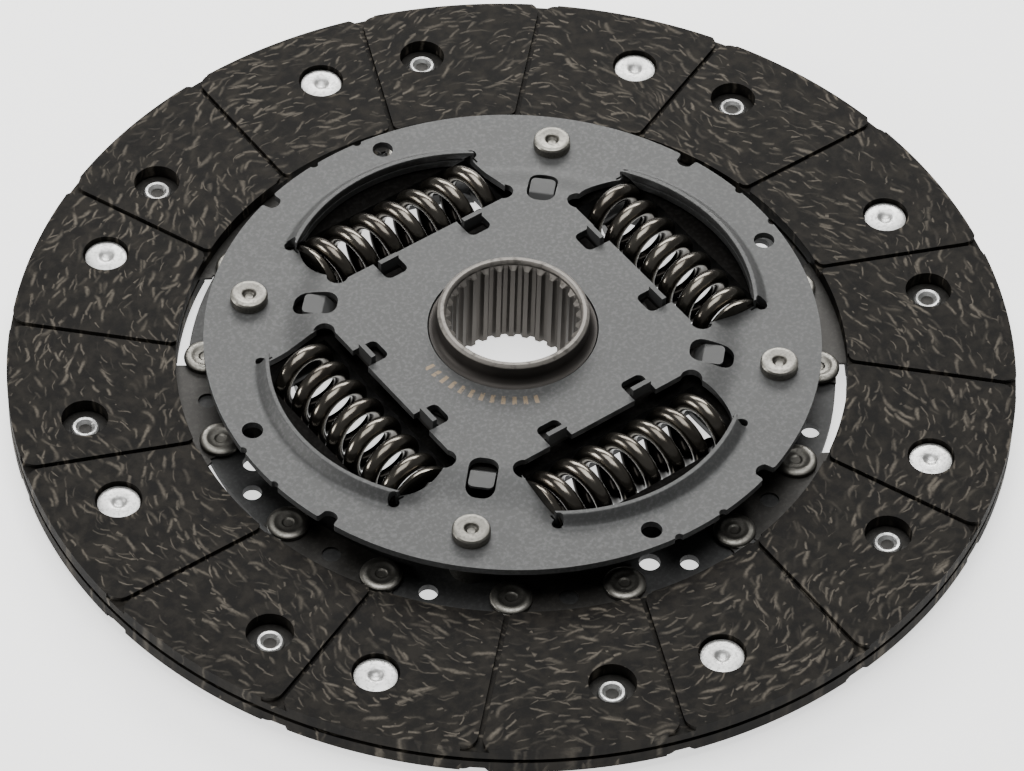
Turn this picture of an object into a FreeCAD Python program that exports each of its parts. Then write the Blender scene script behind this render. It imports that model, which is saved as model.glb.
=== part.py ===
import FreeCAD, Part
import math
import os
import re

from FreeCAD import Placement, Rotation, Vector
import Sketcher

# Friction clutch disc with a sprung hub. Millimetres and degrees. The hub's axis is Z, the origin lies on it at
# the plane of the hub's rear end, the gearbox side faces +Z, and the first damper window is centred on +X.

# Driving dimensions: name, value, meaning
SIZES = [
    ("facing_outer_d", 240.0, "both friction facings, outside"),
    ("facing_width", 40.0, "facing, from its inside to its rim"),
    ("facing_thickness", 3.4, "one facing"),
    ("cushion_gap", 1.2, "free space that the cushion segments keep between the facings"),
    ("hub_rear_drop", 2.7, "the hub's rear end stands this far behind the rear facing"),
    ("groove_width", 1.2, "dust groove between two facing pads"),
    ("groove_depth", 1.2, "dust groove"),
    ("groove_offset", 12.06, "a groove's line passes the disc's centre at this distance"),
    ("groove_heading", -0.77, "direction of the first groove"),
    ("pad_corner_outer", 3.4, "corner radius of a pad at the rim"),
    ("pad_corner_inner", 1.8, "corner radius of a pad at the inside"),
    ("facing_rivet_inset", 17.06, "circle of all facing rivets inside the rim"),
    ("front_rivet_angle", 36.24, "first rivet of the front facing"),
    ("rear_rivet_angle", 21.35, "first rivet of the rear facing"),
    ("facing_hole_d", 11.1, "counterbore for a head, and clearance hole for the other facing's tail"),
    ("facing_floor", 1.4, "facing left under a rivet head"),
    ("facing_rivet_head_d", 10.2, "facing rivet head"),
    ("facing_rivet_head_t", 1.1, "facing rivet head"),
    ("facing_rivet_shank_d", 4.8, "facing rivet shank"),
    ("facing_rivet_tail_d", 6.8, "rolled tail of a facing rivet"),
    ("facing_rivet_tail_t", 1.0, "rolled tail of a facing rivet"),
    ("rivet_clearance", 0.05, "radial play of a shank in its hole"),
    ("segment_thickness", 0.7, "spring steel of a cushion segment"),
    ("segment_first_angle", 18.95, "middle of the first segment's foot"),
    ("segment_foot_r", 67.5, "inner edge of a foot"),
    ("segment_foot_half", 13.6, "half angle of a foot"),
    ("segment_neck_r", 77.4, "where a foot ends and its blade begins"),
    ("blade_inset_inner", 2.5, "inner edge of a blade outside the facings' inner edge"),
    ("blade_inset_outer", 2.4, "outer edge of a blade inside the facings' rim"),
    ("segment_blade_left", -11.7, "left side of a blade from the foot's middle"),
    ("segment_blade_right", 31.4, "right side of a blade from the foot's middle"),
    ("segment_wave_start", 12.2, "where the blade starts to rise to the front facing"),
    ("segment_wave_run", 2.4, "length of that rise"),
    ("segment_rivet_ring_r", 73.2, "circle of the segment rivets"),
    ("segment_rivet_half", 10.45, "half angle between a foot's two rivets"),
    ("segment_rivet_shank_d", 5.2, "segment rivet shank"),
    ("segment_rivet_head_d", 10.0, "dished head on the front"),
    ("segment_rivet_head_t", 1.5, "dished head on the front"),
    ("segment_rivet_back_d", 8.4, "head behind the carrier"),
    ("segment_rivet_back_t", 1.3, "head behind the carrier"),
    ("segment_hole_d", 4.5, "hole between a foot's two rivets"),
    ("plate_thickness", 1.8, "carrier and cover plate"),
    ("carrier_outer_d", 154.6, "carrier plate"),
    ("carrier_hole_d", 4.5, "drain holes in the carrier's rim"),
    ("carrier_hole_first", 38.45, "first drain hole of a pair"),
    ("carrier_hole_second", 87.8, "second drain hole of a pair"),
    ("tool_hole_d", 5.0, "locating hole through both plates"),
    ("tool_hole_ring_r", 68.5, "circle of the locating holes"),
    ("tool_hole_angle", 81.35, "first locating hole"),
    ("cover_outer_d", 146.6, "cover plate"),
    ("cover_rise", 6.85, "cover rim above the front facing"),
    ("cover_joggle", 2.6, "middle of the cover above its rim"),
    ("joggle_inner_r", 46.0, "where the raised middle ends"),
    ("joggle_outer_r", 54.0, "where the rim starts"),
    ("rim_notch_d", 4.8, "round notch in the cover's rim"),
    ("rim_notch_depth", 3.2, "round notch in the cover's rim"),
    ("rim_notch_angle", 17.7, "first round notch"),
    ("spring_centre_r", 45.85, "hub axis to spring axis"),
    ("spring_outer_d", 18.4, "damper spring"),
    ("spring_wire_d", 4.0, "damper spring"),
    ("spring_length", 51.8, "damper spring between its ground ends"),
    ("spring_pitch", 7.02, "pitch of the six free turns"),
    ("spring_play", 0.3, "spring to the flange window's long sides"),
    ("end_play", 0.05, "spring end to a window's end"),
    ("window_inner_margin", 1.15, "a plate window's inner edge is this far inside the springs"),
    ("window_lobe_d", 5.2, "round relief in a window's inner corners"),
    ("lip_radius", 44.3, "plan radius of a lip's free edge"),
    ("lip_crown", 14.65, "spring axis to the middle of a lip's free edge"),
    ("lip_slope_run", 3.1, "plan width of a lip's slope"),
    ("lip_rise", 2.5, "a cover lip's free edge above the rim"),
    ("carrier_lip_drop", 1.8, "a carrier lip's free edge below the plate"),
    ("lip_thickness", 1.3, "edge of a lip"),
    ("relief_d", 2.8, "relief hole at each end of a lip"),
    ("relief_ring_r", 60.2, "circle of the relief holes"),
    ("relief_angle", 26.5, "relief hole from a window's middle"),
    ("slit_width", 0.8, "slit from a relief hole to its window"),
    ("slot_inner_r", 42.2, "slot between two windows, hub end"),
    ("slot_outer_r", 52.8, "slot between two windows, rim end"),
    ("slot_width", 7.0, "slot between two windows"),
    ("lug_width", 5.2, "upright lug of the lug plate"),
    ("lug_thickness", 1.2, "upright lug"),
    ("lug_offset", 12.3, "lug from a window's middle line"),
    ("lug_seat_r", 33.6, "lug from the hub axis along a window's middle line"),
    ("lug_height", 1.9, "lug top above the cover's middle"),
    ("lug_notch_side", 0.5, "notch to a lug's ends"),
    ("lug_notch_depth", 6.2, "notch behind a window's inner edge"),
    ("lug_plate_outer_d", 66.0, "lug plate"),
    ("lug_plate_inner_d", 46.4, "lug plate"),
    ("lug_plate_t", 0.8, "lug plate"),
    ("thrust_ring_outer_d", 67.0, "thrust ring"),
    ("thrust_ring_t", 0.8, "thrust ring"),
    ("tongue_width", 6.0, "tongue of the thrust ring in a slot"),
    ("tongue_bend_r", 40.0, "where a tongue starts to rise"),
    ("tongue_tip_r", 50.4, "tip of a tongue"),
    ("tongue_rise", 0.6, "tip of a tongue above the ring"),
    ("friction_ring_outer_d", 64.0, "front friction ring"),
    ("friction_ring_inner_d", 49.0, "front friction ring, thrust ring and disc spring"),
    ("friction_ring_t", 0.8, "front friction ring"),
    ("disc_spring_outer_d", 63.0, "disc spring"),
    ("disc_spring_t", 0.5, "disc spring"),
    ("bush_outer_d", 64.0, "collar of the rear friction bush"),
    ("bush_wall", 2.3, "sleeve of the rear friction bush"),
    ("bush_play", 0.05, "hub in the rear bush, and bush in the carrier"),
    ("pin_ring_r", 63.54, "circle of the stop pins"),
    ("pin_shoulder_d", 10.0, "stop pin between the plates"),
    ("pin_neck_d", 7.0, "stop pin in a plate"),
    ("pin_head_d", 9.0, "head of a stop pin"),
    ("pin_front_head_t", 2.5, "head on the cover"),
    ("pin_rear_head_t", 1.4, "head behind the carrier"),
    ("flange_outer_d", 132.0, "hub flange"),
    ("flange_thickness", 6.0, "hub flange"),
    ("drive_twist", 10.0, "hub against the plates, anticlockwise"),
    ("coast_twist", 8.0, "hub against the plates, clockwise"),
    ("stop_play", 0.3, "stop pin to its notch in the flange"),
    ("hub_length", 25.5, "hub"),
    ("hub_body_d", 40.0, "hub in the plates"),
    ("hub_seat_d", 46.0, "hub in the flange"),
    ("hub_nose_d", 36.2, "hub in front of the cover"),
    ("hub_cover_play", 0.3, "hub to the cover's bore"),
    ("hub_edge", 0.8, "chamfer of the hub's ends"),
    ("spline_major_d", 32.0, "spline, root of the spaces"),
    ("spline_minor_d", 29.8, "spline, tips of the teeth"),
    ("spline_teeth", 29.0, "number of teeth"),
    ("spline_first_angle", 4.24, "first tooth"),
    ("spline_space_inner", 2.1, "space between two teeth at their tips"),
    ("spline_space_outer", 1.25, "space between two teeth at their roots"),
    ("spline_mouth", 1.2, "plain bore before the teeth"),
    ("spline_lead_in", 0.9, "bevel on the front ends of the teeth"),
]

# Levels and sizes that follow from the driving ones, in the same words
DERIVED = {
    "rear_face": "hub_rear_drop",
    "facing_inner_d": "facing_outer_d - 2 * facing_width",
    "facing_rivet_ring_r": "facing_outer_d / 2 - facing_rivet_inset",
    "segment_blade_in_r": "facing_inner_d / 2 + blade_inset_inner",
    "segment_blade_out_r": "facing_outer_d / 2 - blade_inset_outer",
    "carrier_top": "rear_face + facing_thickness",
    "carrier_bottom": "carrier_top - plate_thickness",
    "segment_top": "carrier_top + segment_thickness",
    "front_back": "carrier_top + cushion_gap",
    "front_face": "front_back + facing_thickness",
    "cover_rim_top": "front_face + cover_rise",
    "cover_rim_bottom": "cover_rim_top - plate_thickness",
    "cover_top": "cover_rim_top + cover_joggle",
    "cover_bottom": "cover_top - plate_thickness",
    "flange_middle": "(carrier_top + cover_bottom) / 2",
    "flange_top": "flange_middle + flange_thickness / 2",
    "flange_bottom": "flange_middle - flange_thickness / 2",
    "friction_top": "flange_top + friction_ring_t",
    "thrust_top": "friction_top + thrust_ring_t",
    "lug_plate_bottom": "cover_bottom - lug_plate_t",
    "window_half": "spring_length / 2 + end_play",
    "window_inner": "spring_centre_r - spring_outer_d / 2 - window_inner_margin",
    "lip_centre": "spring_centre_r + lip_crown - lip_radius",
    "lip_root": "lip_radius + lip_slope_run",
    "coil_r": "(spring_outer_d - spring_wire_d) / 2",
    "spring_end_pitch": "(spring_length - 6 * spring_pitch) / 2",
    "cover_bore_r": "hub_body_d / 2 + hub_cover_play",
    "bush_inner_r": "hub_body_d / 2 + bush_play",
    "bush_sleeve_r": "bush_inner_r + bush_wall",
    "wave_height": "cushion_gap - segment_thickness",
}

WINDOWS = 4
SEGMENTS = 8
GROOVES = 16
ACTIVE_TURNS = 6
COIL_STEPS = 8
RING_SIDES = 40
WIRE_SIDES = 6

doc = FreeCAD.newDocument("ClutchDisc")
sizes = doc.addObject("Spreadsheet::Sheet", "sizes")
for row, (name, value, meaning) in enumerate(SIZES, start=1):
    sizes.set("A%d" % row, name)
    sizes.set("B%d" % row, repr(value))
    sizes.set("C%d" % row, meaning)
    sizes.setAlias("B%d" % row, name)
doc.recompute()
DRIVING = {name for name, value, meaning in SIZES}
PARTS = []


def words(text):
    """The expression with each name replaced: a derived one by its own expression, a driving one by its cell."""

    def swap(match):
        name = match.group(0)
        if name in DERIVED:
            return "(" + words(DERIVED[name]) + ")"
        if name in DRIVING:
            return "sizes." + name
        return name

    return re.sub(r"[A-Za-z_][A-Za-z_0-9]*", swap, str(text))


def value_of(text):
    return float(sizes.evalExpression(words(text).replace("sizes.", "")))


def polar(radius, angle):
    """The point at a radius and an angle, as two expressions."""
    return ("(%s) * cos(%s)" % (radius, angle), "(%s) * sin(%s)" % (radius, angle))


def bind(thing, prop, text):
    thing.setExpression(prop, words(text))


def new_body(label, turn="0", height="0"):
    body = doc.addObject("PartDesign::Body", label)
    body.Label = label
    body.Placement = Placement(Vector(0, 0, 0), Rotation(Vector(0, 0, 1), value_of(turn)))
    bind(body, "Placement.Rotation.Angle", turn)
    bind(body, "Placement.Base.z", height)
    PARTS.append(body)
    return body


def place(thing, turn, radius, height):
    """Turn a shape about Z and set it out to a radius there, at a height."""
    x, y = polar(radius, turn)
    thing.Placement = Placement(Vector(value_of(x), value_of(y), value_of(height)),
                                Rotation(Vector(0, 0, 1), value_of(turn)))
    bind(thing, "Placement.Rotation.Angle", turn)
    bind(thing, "Placement.Base.x", x)
    bind(thing, "Placement.Base.y", y)
    bind(thing, "Placement.Base.z", height)


def plane_of(body, role):
    return next(item for item in body.Origin.OriginFeatures if item.Role == role)


def new_sketch(body, plane="XY_Plane", height="0", turn="0"):
    """A sketch on one of the body's planes. On XY_Plane it may be lifted and turned about Z, on XZ_Plane turned."""
    sketch = body.newObject("Sketcher::SketchObject", body.Name + "_sketch")
    sketch.AttachmentSupport = [(plane_of(body, plane), "")]
    sketch.MapMode = "FlatFace"
    axis = Vector(0, 1, 0) if plane == "XZ_Plane" else Vector(0, 0, 1)
    angle = value_of(turn)
    if abs(angle) > 1e-9:
        sketch.AttachmentOffset = Placement(Vector(0, 0, value_of(height)), Rotation(axis, angle))
        bind(sketch, "AttachmentOffset.Rotation.Angle", turn)
    bind(sketch, "AttachmentOffset.Base.z", height)
    return sketch


def hold(sketch, geometry, point, x, y):
    """Fix a point of the sketch at two expressions."""
    for kind, text in (("DistanceX", x), ("DistanceY", y)):
        at = sketch.addConstraint(Sketcher.Constraint(kind, -1, 1, geometry, point, value_of(text)))
        bind(sketch, "Constraints[%d]" % at, text)


def outline(sketch, points):
    """A closed outline of (x, y) points. Where an arc runs on to the next point, a point is (x, y, radius, side),
    with the arc's centre on the left for side 1 and on the right for side -1."""
    at = [Vector(value_of(p[0]), value_of(p[1]), 0) for p in points]
    ids, starts = [], []
    for i, p in enumerate(points):
        a, b = at[i], at[(i + 1) % len(at)]
        if len(p) == 2:
            ids.append(sketch.addGeometry(Part.LineSegment(a, b)))
            starts.append(1)
            continue
        radius, side = value_of(p[2]), p[3]
        half = (b - a) * 0.5
        across = Vector(-half.y, half.x, 0).normalize() * side
        centre = a + half + across * math.sqrt(max(radius**2 - half.Length**2, 0.0))
        ends = (a, b) if side > 0 else (b, a)
        first, last = (math.atan2(end.y - centre.y, end.x - centre.x) for end in ends)
        ring = Part.Circle(centre, Vector(0, 0, 1), radius)
        ids.append(sketch.addGeometry(Part.ArcOfCircle(ring, first, last if last > first else last + 2 * math.pi)))
        starts.append(1 if side > 0 else 2)
    for i, shape in enumerate(ids):
        after = (i + 1) % len(ids)
        sketch.addConstraint(Sketcher.Constraint("Coincident", shape, 3 - starts[i], ids[after], starts[after]))
    for i, p in enumerate(points):
        hold(sketch, ids[i], starts[i], p[0], p[1])
        if len(p) == 4:
            at_radius = sketch.addConstraint(Sketcher.Constraint("Radius", ids[i], value_of(p[2])))
            bind(sketch, "Constraints[%d]" % at_radius, p[2])
    return ids


def disc(sketch, x, y, diameter, sides=8, hole=True):
    """A small circle with few faces: a regular polygon, drawn round the circle of a hole and inside a shank's."""
    spread = "(%s) / 2" % diameter
    if hole:
        spread += " / cos(180 / %d)" % sides
    corners = []
    for k in range(sides):
        dx, dy = polar(spread, str(360 * (k + 0.5) / sides))
        corners.append(("%s + %s" % (x, dx), "%s + %s" % (y, dy)))
    outline(sketch, corners)


def box_outline(sketch, x0, x1, y0, y1):
    outline(sketch, [(x0, y0), (x1, y0), (x1, y1), (x0, y1)])


def pad(body, sketch, length):
    feature = body.newObject("PartDesign::Pad", body.Name + "_pad")
    feature.Profile = sketch
    bind(feature, "Length", length)
    doc.recompute()
    return feature


def through(body, sketch):
    """A cut through everything, to both sides of the sketch."""
    feature = body.newObject("PartDesign::Pocket", body.Name + "_cut")
    feature.Profile = sketch
    feature.Type = "ThroughAll"
    feature.Midplane = True
    doc.recompute()
    return feature


def pocket(body, sketch, depth, upward=False):
    feature = body.newObject("PartDesign::Pocket", body.Name + "_pocket")
    feature.Profile = sketch
    feature.Reversed = upward
    bind(feature, "Length", depth)
    doc.recompute()
    return feature


def turned(body, sketch, kind="PartDesign::Revolution", axis="V_Axis", angle="360"):
    feature = body.newObject(kind, body.Name + "_turned")
    feature.Profile = sketch
    feature.ReferenceAxis = (sketch, [axis])
    feature.Midplane = angle != "360"
    bind(feature, "Angle", angle)
    doc.recompute()
    return feature


def repeat(body, features, count):
    """The features again at equal steps round the hub's axis."""
    feature = body.newObject("PartDesign::PolarPattern", body.Name + "_ring")
    feature.Originals = features
    feature.Axis = (plane_of(body, "Z_Axis"), [""])
    feature.Angle = 360
    feature.Occurrences = count
    body.Tip = feature
    doc.recompute()
    return feature


def prism(body, kind, radius, bottom, top):
    feature = body.newObject("PartDesign::" + kind, body.Name + "_prism")
    feature.AttachmentSupport = [(plane_of(body, "XY_Plane"), "")]
    feature.MapMode = "FlatFace"
    feature.Polygon = RING_SIDES
    bind(feature, "AttachmentOffset.Base.z", bottom)
    bind(feature, "Circumradius", radius)
    bind(feature, "Height", "%s - (%s)" % (top, bottom))
    doc.recompute()
    return feature


def plain_ring(body, inner_r, outer_r, bottom, top):
    """A hidden flat ring, with as few faces as a ring may have and still look round."""
    made = prism(body, "AdditivePrism", outer_r, bottom, top)
    if inner_r:
        made = prism(body, "SubtractivePrism", "(%s) / cos(180 / %d)" % (inner_r, RING_SIDES), bottom, top)
    return made


def washer(body, inner_r, outer_r, bottom, top):
    """A flat ring, as a turned section."""
    sketch = new_sketch(body, "XZ_Plane")
    box_outline(sketch, inner_r, outer_r, bottom, top)
    return turned(body, sketch)


def ring_sketch(body, radius, angle):
    """A radial sketch at an angle, with an upright construction line at a radius to turn a section about."""
    sketch = new_sketch(body, "XZ_Plane", turn=angle)
    x = value_of(radius)
    line = sketch.addGeometry(Part.LineSegment(Vector(x, 0, 0), Vector(x, 50, 0)), True)
    hold(sketch, line, 1, radius, "0")
    hold(sketch, line, 2, radius, "50")
    return sketch


def shank(body, radius, angle, steps, sides=8):
    """One fastener, as round steps on top of each other. A step is (diameter, bottom, top)."""
    x, y = polar(radius, angle)
    made = []
    for diameter, bottom, top in steps:
        sketch = new_sketch(body, height=bottom)
        disc(sketch, x, y, diameter, sides, hole=False)
        made.append(pad(body, sketch, "%s - (%s)" % (top, bottom)))
    return made


def holes(body, places, diameter, sides=8):
    """One cut through the body at each place, a (radius, angle) pair."""
    sketch = new_sketch(body)
    for radius, angle in places:
        x, y = polar(radius, angle)
        disc(sketch, x, y, diameter, sides)
    return through(body, sketch)


def facing(label, back, face, own_rivet, other_rivet, upward):
    body = new_body(label)
    washer(body, "facing_inner_d / 2", "facing_outer_d / 2", back, face)

    rim = "sqrt((facing_outer_d / 2) ^ 2 - groove_offset ^ 2)"
    bore = "sqrt((facing_inner_d / 2) ^ 2 - groove_offset ^ 2)"
    sketch = new_sketch(body, height=face, turn="groove_heading")
    flank = [
        ("%s - pad_corner_inner" % bore, "2 * pad_corner_inner"),
        ("%s + pad_corner_inner" % bore, "0"),
        ("%s - pad_corner_outer" % rim, "0"),
        ("%s - (1 - sin(45)) * pad_corner_outer" % rim, "(1 - cos(45)) * pad_corner_outer"),
        (rim, "pad_corner_outer"),
        (rim + " + 4", "pad_corner_outer"),
    ]
    low = [(x, "groove_offset - groove_width / 2 - %s" % y) for x, y in flank]
    high = [(x, "groove_offset + groove_width / 2 + %s" % y) for x, y in reversed(flank)]
    outline(sketch, low + high)
    repeat(body, [pocket(body, sketch, "groove_depth", upward)], GROOVES)

    sketch = new_sketch(body, height=face)
    x, y = polar("facing_rivet_ring_r", own_rivet)
    disc(sketch, x, y, "facing_hole_d", 12)
    counterbore = pocket(body, sketch, "facing_thickness - facing_floor", upward)
    bore = holes(body, [("facing_rivet_ring_r", own_rivet)], "facing_rivet_shank_d + 2 * rivet_clearance")
    clearance = holes(body, [("facing_rivet_ring_r", other_rivet)], "facing_hole_d", 12)
    repeat(body, [counterbore, bore, clearance], SEGMENTS)
    return body


def facing_rivets(label, angle, head, neck, tail):
    """Eight rivets, each a (bottom, top) pair for its head, its shank and its rolled tail."""
    body = new_body(label)
    body.AllowCompound = True
    steps = [("facing_rivet_head_d",) + head, ("facing_rivet_shank_d",) + neck, ("facing_rivet_tail_d",) + tail]
    repeat(body, shank(body, "facing_rivet_ring_r", angle, steps), SEGMENTS)
    return body


def segment(number):
    body = new_body("cushion_segment_%d" % number, "segment_first_angle + %d * 45" % (number - 1), "carrier_top")
    foot, left, right = "segment_foot_half", "segment_blade_left", "segment_blade_right"
    start, stop = "segment_wave_start", "segment_wave_start + segment_wave_run"
    foot_r, neck_r = "segment_foot_r", "segment_neck_r"
    in_r, out_r = "segment_blade_in_r", "segment_blade_out_r"

    sketch = new_sketch(body)
    outline(sketch, [
        polar(foot_r, "-" + foot) + (foot_r, 1),
        polar(foot_r, foot),
        polar(neck_r, foot) + (neck_r, -1),
        polar(neck_r, start),
        polar(out_r, start) + (out_r, -1),
        polar(out_r, left),
        polar(neck_r, left) + (neck_r, -1),
        polar(neck_r, "-" + foot),
    ])
    pad(body, sketch, "segment_thickness")

    ramp = []
    for angle, lift in ((start, "0"), (stop, "wave_height")):
        sketch = new_sketch(body, "XZ_Plane", turn=angle)
        box_outline(sketch, in_r, out_r, lift, lift + " + segment_thickness")
        ramp.append(sketch)
    loft = body.newObject("PartDesign::AdditiveLoft", body.Name + "_ramp")
    loft.Profile = (ramp[0], [""])
    loft.Sections = [(ramp[1], [""])]
    loft.Ruled = True
    doc.recompute()

    sketch = new_sketch(body, height="wave_height")
    outline(sketch, [
        polar(in_r, stop),
        polar(out_r, stop) + (out_r, 1),
        polar(out_r, right),
        polar(in_r, right) + (in_r, -1),
    ])
    pad(body, sketch, "segment_thickness")

    ring = "segment_rivet_ring_r"
    half = "segment_rivet_half"
    holes(body, [(ring, "-" + half), (ring, half)], "segment_rivet_shank_d + 2 * rivet_clearance")
    holes(body, [(ring, "0")], "segment_hole_d")
    on_blade = [("facing_rivet_ring_r", "(%s - segment_first_angle)" % a) for a in ("front_rivet_angle", "rear_rivet_angle")]
    holes(body, on_blade, "facing_rivet_shank_d + 2 * rivet_clearance")
    return body


def window_cut(body):
    """The opening that carrier and cover share at one window."""
    half, centre, radius = "window_half", "lip_centre", "lip_radius"
    edge = "%s + sqrt(%s ^ 2 - (%s) ^ 2)" % (centre, radius, half)
    sketch = new_sketch(body)
    outline(sketch, [
        ("window_inner", "-" + half),
        (edge, "-" + half, radius, 1),
        (edge, half),
        ("window_inner", half),
    ])
    return through(body, sketch)


def window_reliefs(body):
    """The round reliefs in a window's inner corners, and the relief hole and slit at each end of its lip."""
    sketch = new_sketch(body)
    for side in ("-1", "1"):
        disc(sketch, "window_inner + 2", "%s * (window_half - 1.5)" % side, "window_lobe_d")
    cuts = [through(body, sketch)]
    cuts.append(holes(body, [("relief_ring_r", "-relief_angle"), ("relief_ring_r", "relief_angle")], "relief_d"))

    sketch = new_sketch(body)
    for side in ("-1", "1"):
        x, y = polar("relief_ring_r", "%s * relief_angle" % side)
        box_outline(sketch, "%s - 3" % x, x, "%s - %s * slit_width" % (y, side), y)
    cuts.append(through(body, sketch))
    return cuts


def spring_room(body):
    """The room that a lip leaves round its spring."""
    sketch = new_sketch(body, "XZ_Plane")
    disc(sketch, "spring_centre_r", "flange_middle", "spring_outer_d + 2 * spring_play", 16)
    feature = pocket(body, sketch, "2 * window_half")
    feature.Midplane = True
    doc.recompute()
    return feature


def lip(body, root, free, sheet, foot):
    """The turned rim of a window: a band about the lip's own centre, from its root in the sheet to its free edge."""
    sketch = ring_sketch(body, "lip_centre", "0")
    centre = "lip_centre"
    outline(sketch, [
        ("%s + lip_root + 1" % centre, root),
        ("%s + lip_root" % centre, root),
        ("%s + lip_radius + 0.6" % centre, free),
        ("%s + lip_radius" % centre, free),
        ("%s + lip_radius" % centre, sheet),
        ("%s + lip_radius + 0.8" % centre, foot),
        ("%s + lip_root + 1" % centre, foot),
    ])
    return turned(body, sketch, axis="Axis0", angle="2 * (asin(window_half / lip_radius) + 1 deg)")


def carrier_plate():
    body = new_body("carrier_plate")
    washer(body, "bush_sleeve_r + bush_play", "carrier_outer_d / 2", "carrier_bottom", "carrier_top")
    edge = lip(body, "carrier_bottom", "carrier_bottom - carrier_lip_drop",
               "carrier_bottom - carrier_lip_drop + lip_thickness", "carrier_top")
    pinned = holes(body, [("pin_ring_r", "45")], "pin_neck_d")
    drains = holes(body, [("segment_rivet_ring_r", "carrier_hole_first"),
                          ("segment_rivet_ring_r", "carrier_hole_second")], "carrier_hole_d")
    tools = holes(body, [("tool_hole_ring_r", "tool_hole_angle")], "tool_hole_d")
    repeat(body, [edge, window_cut(body), spring_room(body), pinned, drains, tools], WINDOWS)
    first = "segment_first_angle"
    shanks = holes(body, [("segment_rivet_ring_r", first + " - segment_rivet_half"),
                          ("segment_rivet_ring_r", first + " + segment_rivet_half")],
                   "segment_rivet_shank_d + 2 * rivet_clearance")
    middle = holes(body, [("segment_rivet_ring_r", first)], "segment_hole_d")
    repeat(body, [shanks, middle], SEGMENTS)
    return body


def cover_plate():
    body = new_body("cover_plate")
    sketch = new_sketch(body, "XZ_Plane")
    outline(sketch, [
        ("cover_bore_r", "cover_bottom"),
        ("joggle_inner_r", "cover_bottom"),
        ("joggle_outer_r", "cover_rim_bottom"),
        ("cover_outer_d / 2", "cover_rim_bottom"),
        ("cover_outer_d / 2", "cover_rim_top"),
        ("joggle_outer_r", "cover_rim_top"),
        ("joggle_inner_r", "cover_top"),
        ("cover_bore_r", "cover_top"),
    ])
    turned(body, sketch)
    edge = lip(body, "cover_rim_top", "cover_rim_top + lip_rise", "cover_rim_top + lip_rise - lip_thickness",
               "cover_rim_bottom")
    cuts = [window_cut(body), spring_room(body)] + window_reliefs(body)

    sketch = new_sketch(body)
    for side in ("-1", "1"):
        middle = "%s * lug_offset" % side
        reach = "%s * (lug_width / 2 + lug_notch_side)" % side
        box_outline(sketch, "window_inner - lug_notch_depth", "window_inner + 0.5",
                    "%s - %s" % (middle, reach), "%s + %s" % (middle, reach))
    cuts.append(through(body, sketch))

    corner = "(slot_width / 2 - 0.7)"
    half = "slot_width / 2"
    sketch = new_sketch(body, turn="45")
    outline(sketch, [
        ("slot_inner_r + " + corner, "-" + half),
        ("slot_outer_r - " + corner, "-" + half, corner, 1),
        ("slot_outer_r", "-0.7"),
        ("slot_outer_r", "0.7", corner, 1),
        ("slot_outer_r - " + corner, half),
        ("slot_inner_r + " + corner, half, corner, 1),
        ("slot_inner_r", "0.7"),
        ("slot_inner_r", "-0.7", corner, 1),
    ])
    cuts.append(through(body, sketch))

    cuts.append(holes(body, [("pin_ring_r", "45")], "pin_neck_d"))
    cuts.append(holes(body, [("tool_hole_ring_r", "tool_hole_angle")], "tool_hole_d"))
    notch_r = "(cover_outer_d / 2 - rim_notch_depth + rim_notch_d / 2)"
    cuts.append(holes(body, [(notch_r, "rim_notch_angle")], "rim_notch_d"))
    repeat(body, [edge] + cuts, WINDOWS)
    return body


def hub():
    body = new_body("hub")
    length, edge = "hub_length", "hub_edge"
    rear_r, seat_r, nose_r = "hub_body_d / 2", "hub_seat_d / 2", "hub_nose_d / 2"
    plain_r, tip_r = "(spline_major_d / 2 + 0.05)", "spline_minor_d / 2"
    cove = "(hub_body_d - hub_nose_d) / 2"
    sketch = new_sketch(body, "XZ_Plane")
    outline(sketch, [
        (plain_r + " + 0.6", "0"),
        ("%s - %s" % (rear_r, edge), "0"),
        (rear_r, edge),
        (rear_r, "flange_bottom"),
        (seat_r, "flange_bottom"),
        (seat_r, "flange_top"),
        (rear_r, "flange_top"),
        (rear_r, "cover_top"),
        (nose_r, "cover_top + " + cove),
        (nose_r, "%s - %s" % (length, edge)),
        ("%s - %s" % (nose_r, edge), length),
        (plain_r + " + 0.6", length),
        (plain_r, length + " - 0.6"),
        (plain_r, length + " - spline_mouth"),
        (tip_r, length + " - spline_mouth - spline_lead_in"),
        (tip_r, "spline_mouth"),
        (plain_r, "spline_mouth"),
        (plain_r, "0.6"),
    ])
    turned(body, sketch)

    # One space of the spline, between the first tooth and the next
    start = "(spline_minor_d / 2 - 0.6)"
    root = "(spline_major_d / 2)"
    taper = "(spline_space_inner - spline_space_outer) / (spline_major_d / 2 - spline_minor_d / 2)"
    outer = "spline_space_outer / 2"
    inner = "%s + 0.5 * %s * (%s - %s)" % (outer, taper, root, start)
    sketch = new_sketch(body, turn="spline_first_angle + 180 / spline_teeth")
    outline(sketch, [(start, "-(%s)" % inner), (root, "-" + outer), (root, outer), (start, inner)])
    repeat(body, [through(body, sketch)], int(value_of("spline_teeth")))
    return body


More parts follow.
